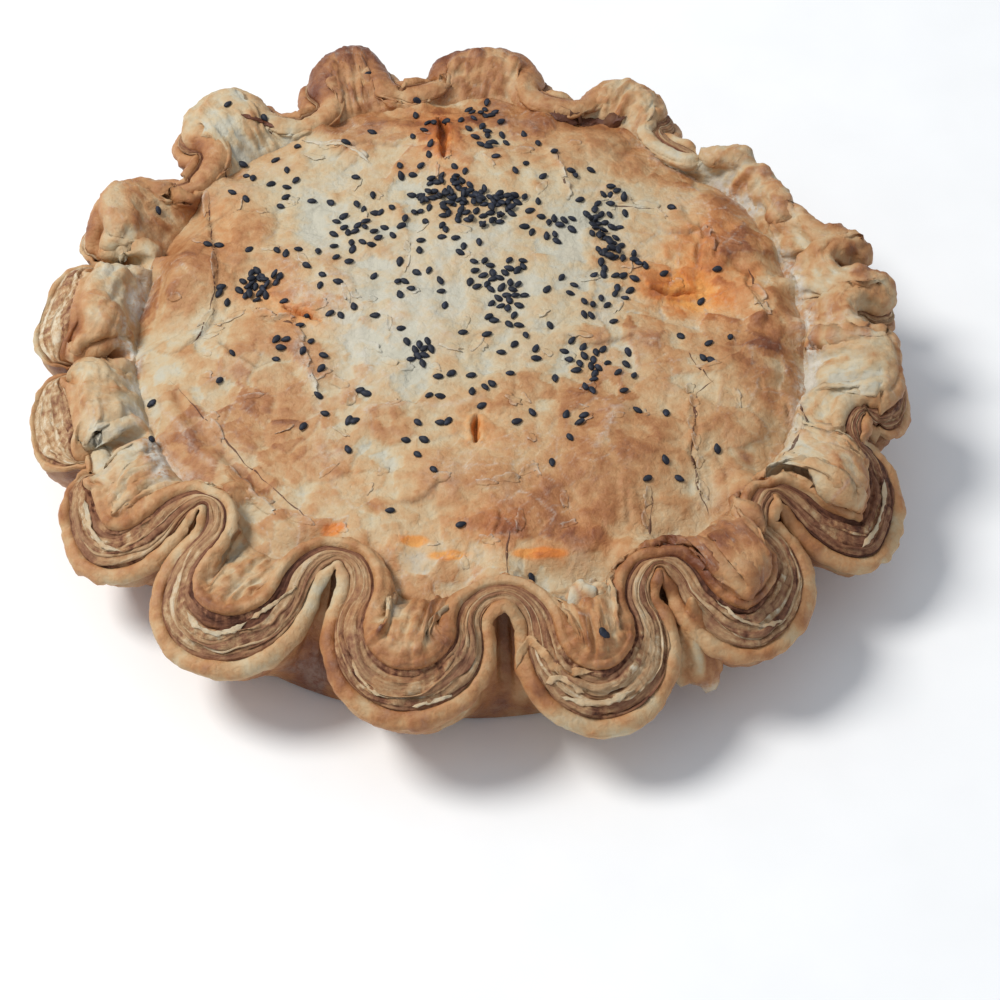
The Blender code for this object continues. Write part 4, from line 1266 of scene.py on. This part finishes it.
def seeds_piece(random, ground):
    template = seed_template()
    shape = bmesh.new()
    laid = []
    wanted = [(px, py, 0, 0, False) for px, py in SINGLES]
    for px, py, wide, tall, count in CLUMPS:
        wanted += [(px, py, wide, tall, count >= HEAP)] * count
    for px, py, wide, tall, may_pile in wanted:
        for _ in range(SEED_TRIES):
            spot = (random.normal(px, wide), random.normal(py, tall)) if wide else (px, py)
            place, normal, _, _ = ground.ray_cast(CAMERA_AT, sight(*spot))
            gaps = [(place - other).length / MM for other in laid]
            if sum(gap < SEED_GAP for gap in gaps) <= may_pile:
                break
        piled = min(sum(gap < SEED_PILED for gap in gaps), 2)
        laid.append(place.copy())
        tilt = Vector(random.normal(0, 0.10 + 0.22 * min(piled, 1), 3)) + normal
        lie = tilt.to_track_quat("Z", "X").to_matrix().to_4x4()
        turn = Matrix.Rotation(random.uniform(0, TAU), 4, "Z")
        size = Matrix.Scale(random.uniform(0.88, 1.08), 4)
        lift = normal * (0.40 + 0.70 * piled) * MM
        before = len(shape.verts)
        shape.from_mesh(template)
        shape.verts.ensure_lookup_table()
        matrix = Matrix.Translation(place + lift) @ lie @ turn @ size
        bmesh.ops.transform(shape, matrix=matrix, verts=shape.verts[before:])
    print("seeds laid:", len(laid))
    bpy.data.meshes.remove(template)
    return finished("seeds", shape)


random = np.random.default_rng(7)
ground = ground_of((torn_flakes, frayed_leaves, lid, skin, layers, case))
seeds = seeds_piece(random, ground)

# %% [markdown]
# ## Colours and nodes
#
# Colours are written as the hex values that the eye sees and turned to linear light by one function. One
# other function adds a node, sets it up and links it, so that each material reads as a list of steps.

# %% Helpers for the materials


def linear(code):
    """An sRGB hex colour as linear light, with alpha."""
    parts = [int(code[n : n + 2], 16) / 255 for n in (1, 3, 5)]
    return [p / 12.92 if p <= 0.04045 else ((p + 0.055) / 1.055) ** 2.4 for p in parts] + [1.0]


def add(tree, kind, inputs=None, stops=None, out=0, **settings):
    """A node with its settings, its inputs set or linked, and its ramp's stops; gives one output socket."""
    made = tree.nodes.new("ShaderNode" + kind)
    for name, value in settings.items():
        setattr(made, name, value)
    for name, value in (inputs or {}).items():
        if isinstance(value, bpy.types.NodeSocket):
            tree.links.new(value, made.inputs[name])
        else:
            made.inputs[name].default_value = value
    if stops:
        ramp = made.color_ramp.elements
        while len(ramp) < len(stops):
            ramp.new(0.5)
        for element, (position, code) in zip(ramp, stops):
            element.position = position
            element.color = linear(code) if isinstance(code, str) else (code, code, code, 1)
    return made.outputs[out] if len(made.outputs) else made


def empty_material(name):
    material = bpy.data.materials.new(name)
    material.use_nodes = True
    material.node_tree.nodes.clear()
    return material, material.node_tree


MIX_FACTOR, MIX_A, MIX_B, MIX_RESULT = 0, 6, 7, 2
COLOURS = {"data_type": "RGBA", "out": MIX_RESULT}

# %% [markdown]
# ## Baked skin
#
# Puff pastry skin, egg washed and baked: dry and matt where it is pale, with a faint shine where the wash
# browned. The eye sees a warm range from cream to chestnut, never one colour, freckled at a millimetre.
# The browning field sets the place in a ramp, and flour, juice and painted shade are laid over it.

# %% Material: baked skin
SKIN_STOPS = (
    (0.0, "#C2BCA8"), (0.18, "#C8B491"), (0.36, "#C5A277"),
    (0.54, "#BB895A"), (0.72, "#A66D40"), (1.0, "#774226"),
)
JUICE_STOPS = ((0.15, "#E3A055"), (0.5, "#D27A30"), (0.9, "#94491F"))
FLOUR_COLOUR, SHADE_COLOUR = "#D0C9BB", "#57301F"
# How large these are on the crust, in millimetres
FRECKLE_SIZE, PATCH_SIZE, DUST_SIZE, RIPPLE_SIZE = 3.0, 9, 1.7, 1.5


def baked_skin(name):
    material, tree = empty_material(name)
    where = add(tree, "TexCoord", out="Object")
    field = {n: add(tree, "Attribute", out="Fac", attribute_name=n) for n in SKIN_FIELDS}
    fine = {"Vector": where, "Detail": 6.0, "Roughness": 0.65}
    freckles = add(tree, "TexNoise", {"Scale": 1 / (FRECKLE_SIZE * MM), **fine})
    patches = add(tree, "TexNoise", {"Scale": 1 / (PATCH_SIZE * MM), **fine})
    dust = add(tree, "TexNoise", {"Scale": 1 / (DUST_SIZE * MM), **fine})
    ripples = add(tree, "TexNoise", {"Scale": 1 / (RIPPLE_SIZE * MM), "Distortion": 0.6, **fine})
    both = add(tree, "Math", {0: freckles, 1: patches}, operation="ADD")
    spread = add(tree, "Math", {0: both, 1: 0.55, 2: -0.55}, operation="MULTIPLY_ADD")
    browned = add(tree, "Math", {0: field["browning"], 1: spread}, operation="ADD")
    crust = add(tree, "ValToRGB", {"Fac": browned}, SKIN_STOPS)
    juice_colour = add(tree, "ValToRGB", {"Fac": browned}, JUICE_STOPS)
    ragged = add(tree, "Math", {0: freckles, 1: 1.6, 2: 0.2}, operation="MULTIPLY_ADD")
    juicy = add(tree, "Math", {0: field["juice"], 1: ragged}, operation="MULTIPLY", use_clamp=True)
    colour = add(tree, "Mix", {MIX_FACTOR: juicy, MIX_A: crust, MIX_B: juice_colour}, **COLOURS)
    dusting = add(tree, "Math", {0: dust, 1: 4.5, 2: -1.6}, operation="MULTIPLY_ADD", use_clamp=True)
    floury = add(tree, "Math", {0: field["flour"], 1: dusting}, operation="MULTIPLY", use_clamp=True)
    colour = add(tree, "Mix", {MIX_FACTOR: floury, MIX_A: colour, MIX_B: linear(FLOUR_COLOUR)}, **COLOURS)
    dark = add(tree, "Math", {0: field["shade"], 1: 0.85}, operation="MULTIPLY", use_clamp=True)
    colour = add(tree, "Mix", {MIX_FACTOR: dark, MIX_A: colour, MIX_B: linear(SHADE_COLOUR)}, **COLOURS)
    glossier = {"From Min": 0.3, "From Max": 0.9, "To Min": 0.66, "To Max": 0.44}
    shine = add(tree, "MapRange", {"Value": browned, **glossier})
    relief = add(tree, "Math", {0: ripples, 1: freckles}, operation="ADD")
    bump = add(tree, "Bump", {"Height": relief, "Distance": 0.45 * MM, "Strength": 0.9})
    inputs = {"Base Color": colour, "Roughness": shine, "Normal": bump, "IOR": 1.45}
    surface = add(tree, "BsdfPrincipled", inputs)
    add(tree, "OutputMaterial", {"Surface": surface})
    return material


golden = baked_skin("egg_washed_baked_pastry")
for piece in (case, skin, lid, torn_flakes, frayed_leaves):
    piece.data.materials.append(golden)

# %% [markdown]
# ## Cut layers
#
# The cut edge has no egg wash, so it stays dry and matt. Leaves that stand out baked cream to tan, and the
# gaps between them take the darker leaf's mauve brown. The tone field says which leaf a point belongs to,
# and carries painted shade in open slots and cracks; fine noise breaks it up, because no leaf has one colour
# for long.

# %% Material: cut layers
LAYER_STOPS = (
    (0.0, "#4E2C1D"), (0.18, "#774B34"), (0.36, "#93684B"),
    (0.54, "#AC855F"), (0.74, "#C4A680"), (1.0, "#DACBB0"),
)
TOASTED_STOPS = ((0.1, "#63361F"), (0.5, "#AB7345"), (0.9, "#C9A072"))
CRUMB_SIZE, BLUSH_SIZE, STREAK_LENGTH = 1.3, 13, 5


def cut_pastry():
    material, tree = empty_material("cut_puff_pastry_layers")
    where = add(tree, "TexCoord", out="Object")
    fields = ("tone", "crumb", "across")
    tone, crumb, across = (add(tree, "Attribute", out="Fac", attribute_name=n) for n in fields)
    fine = {"Vector": where, "Detail": 5.0, "Roughness": 0.7}
    crumbs = add(tree, "TexNoise", {"Scale": 1 / (CRUMB_SIZE * MM), **fine})
    blush = add(tree, "TexNoise", {"Scale": 1 / (BLUSH_SIZE * MM), **fine})
    leaf = add(tree, "CombineXYZ", {"Z": across})
    finely = add(tree, "VectorMath", {0: leaf, 1: (0, 0, 1.2)}, operation="MULTIPLY")
    slow = (1 / (STREAK_LENGTH * MM),) * 3
    along = add(tree, "VectorMath", {0: where, 1: slow, 2: finely}, operation="MULTIPLY_ADD")
    streaks = add(tree, "TexNoise", {"Vector": along, "Scale": 1.0, "Detail": 4.0, "Roughness": 0.6})
    coarse = add(tree, "Math", {0: crumb, 1: 0.9, 2: 0.45}, operation="MULTIPLY_ADD")
    centred = add(tree, "Math", {0: crumbs, 1: 0.5}, operation="SUBTRACT")
    spread = add(tree, "Math", {0: centred, 1: coarse}, operation="MULTIPLY")
    streaked = add(tree, "Math", {0: streaks, 1: 0.7, 2: -0.35}, operation="MULTIPLY_ADD")
    toned = add(tree, "Math", {0: tone, 1: spread}, operation="ADD")
    toned = add(tree, "Math", {0: toned, 1: streaked}, operation="ADD")
    colour = add(tree, "ValToRGB", {"Fac": toned}, LAYER_STOPS)
    warmer = {"From Min": 0.48, "From Max": 0.68, "To Min": 0.0, "To Max": 0.55}
    warm = add(tree, "MapRange", {"Value": blush, **warmer})
    toasted = add(tree, "ValToRGB", {"Fac": toned}, TOASTED_STOPS)
    colour = add(tree, "Mix", {MIX_FACTOR: warm, MIX_A: colour, MIX_B: toasted}, **COLOURS)
    relief = add(tree, "Math", {0: streaks, 1: 1.4, 2: crumbs}, operation="MULTIPLY_ADD")
    bump = add(tree, "Bump", {"Height": relief, "Distance": 0.5 * MM, "Strength": 0.9})
    inputs = {"Base Color": colour, "Roughness": 0.75, "Normal": bump, "IOR": 1.4}
    add(tree, "OutputMaterial", {"Surface": add(tree, "BsdfPrincipled", inputs)})
    return material


layers.data.materials.append(cut_pastry())

# %% [markdown]
# ## Black sesame
#
# The hull of a black sesame seed is nearly black with a bluish bloom, dry, and faintly ridged. It has hardly
# any gloss.

# %% Material: black sesame
material, tree = empty_material("black_sesame_hull")
where = add(tree, "TexCoord", out="Object")
bloom = add(tree, "TexNoise", {"Vector": where, "Scale": 1 / (1.4 * MM), "Detail": 3.0})
hull = add(tree, "ValToRGB", {"Fac": bloom}, ((0.3, "#161923"), (0.55, "#20242F"), (0.75, "#31374A")))
bump = add(tree, "Bump", {"Height": bloom, "Distance": 0.15 * MM, "Strength": 0.5})
add(tree, "OutputMaterial", {"Surface": add(
    tree, "BsdfPrincipled", {"Base Color": hull, "Roughness": 0.6, "Normal": bump, "IOR": 1.4}
)})
seeds.data.materials.append(material)

# %% [markdown]
# ## Floor and light
#
# The pie stands on a plain pale ground under soft light from the upper left, so its shadow falls to the
# lower right.

# %% Floor
shape = bmesh.new()
bmesh.ops.create_grid(shape, x_segments=1, y_segments=1, size=3)
floor = finished("floor", shape)
material, tree = empty_material("white_matt_card")
grain = add(tree, "TexNoise", {"Vector": add(tree, "TexCoord", out="Object"), "Scale": 40.0, "Detail": 2.0})
card = add(tree, "ValToRGB", {"Fac": grain}, ((0.3, "#F9F9F8"), (0.7, "#FCFCFB")))
add(tree, "OutputMaterial", {"Surface": add(tree, "BsdfPrincipled", {"Base Color": card, "Roughness": 0.9})})
floor.data.materials.append(material)

# %% Light
SKY_COLOUR, SKY_STRENGTH = (0.88, 0.95, 1.05, 1), 0.5
WINDOW_COLOUR, WINDOW_POWER, WINDOW_SIZE = (1.0, 0.985, 0.96), 21.5, 0.6
WINDOW_AT, WINDOW_AIM = Vector((-0.92, 0.12, 1.35)), Vector((0, 0, 0.02))
world = bpy.data.worlds.new("studio")
world.use_nodes = True
sky = world.node_tree.nodes["Background"].inputs
sky["Color"].default_value = SKY_COLOUR
sky["Strength"].default_value = SKY_STRENGTH
bpy.context.scene.world = world
lamp = bpy.data.lights.new("window", "AREA")
lamp.shape, lamp.size, lamp.energy, lamp.color = "DISK", WINDOW_SIZE, WINDOW_POWER, WINDOW_COLOUR
window = bpy.data.objects.new("window", lamp)
window.location = WINDOW_AT
window.rotation_euler = (WINDOW_AIM - WINDOW_AT).to_track_quat("-Z", "Y").to_euler()
bpy.context.scene.collection.objects.link(window)
bpy.context.scene.view_settings.view_transform = "Standard"

# %% [markdown]
# ## Attach the pieces
#
# Each piece rides on the pie's one body, and together the crust pieces stand for the imported solid, which
# stays hidden.

# %% Rides, and the imported solid hidden
for piece in (case, layers, skin, lid, torn_flakes, frayed_leaves, seeds):
    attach(piece, "root")
    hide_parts("pie")
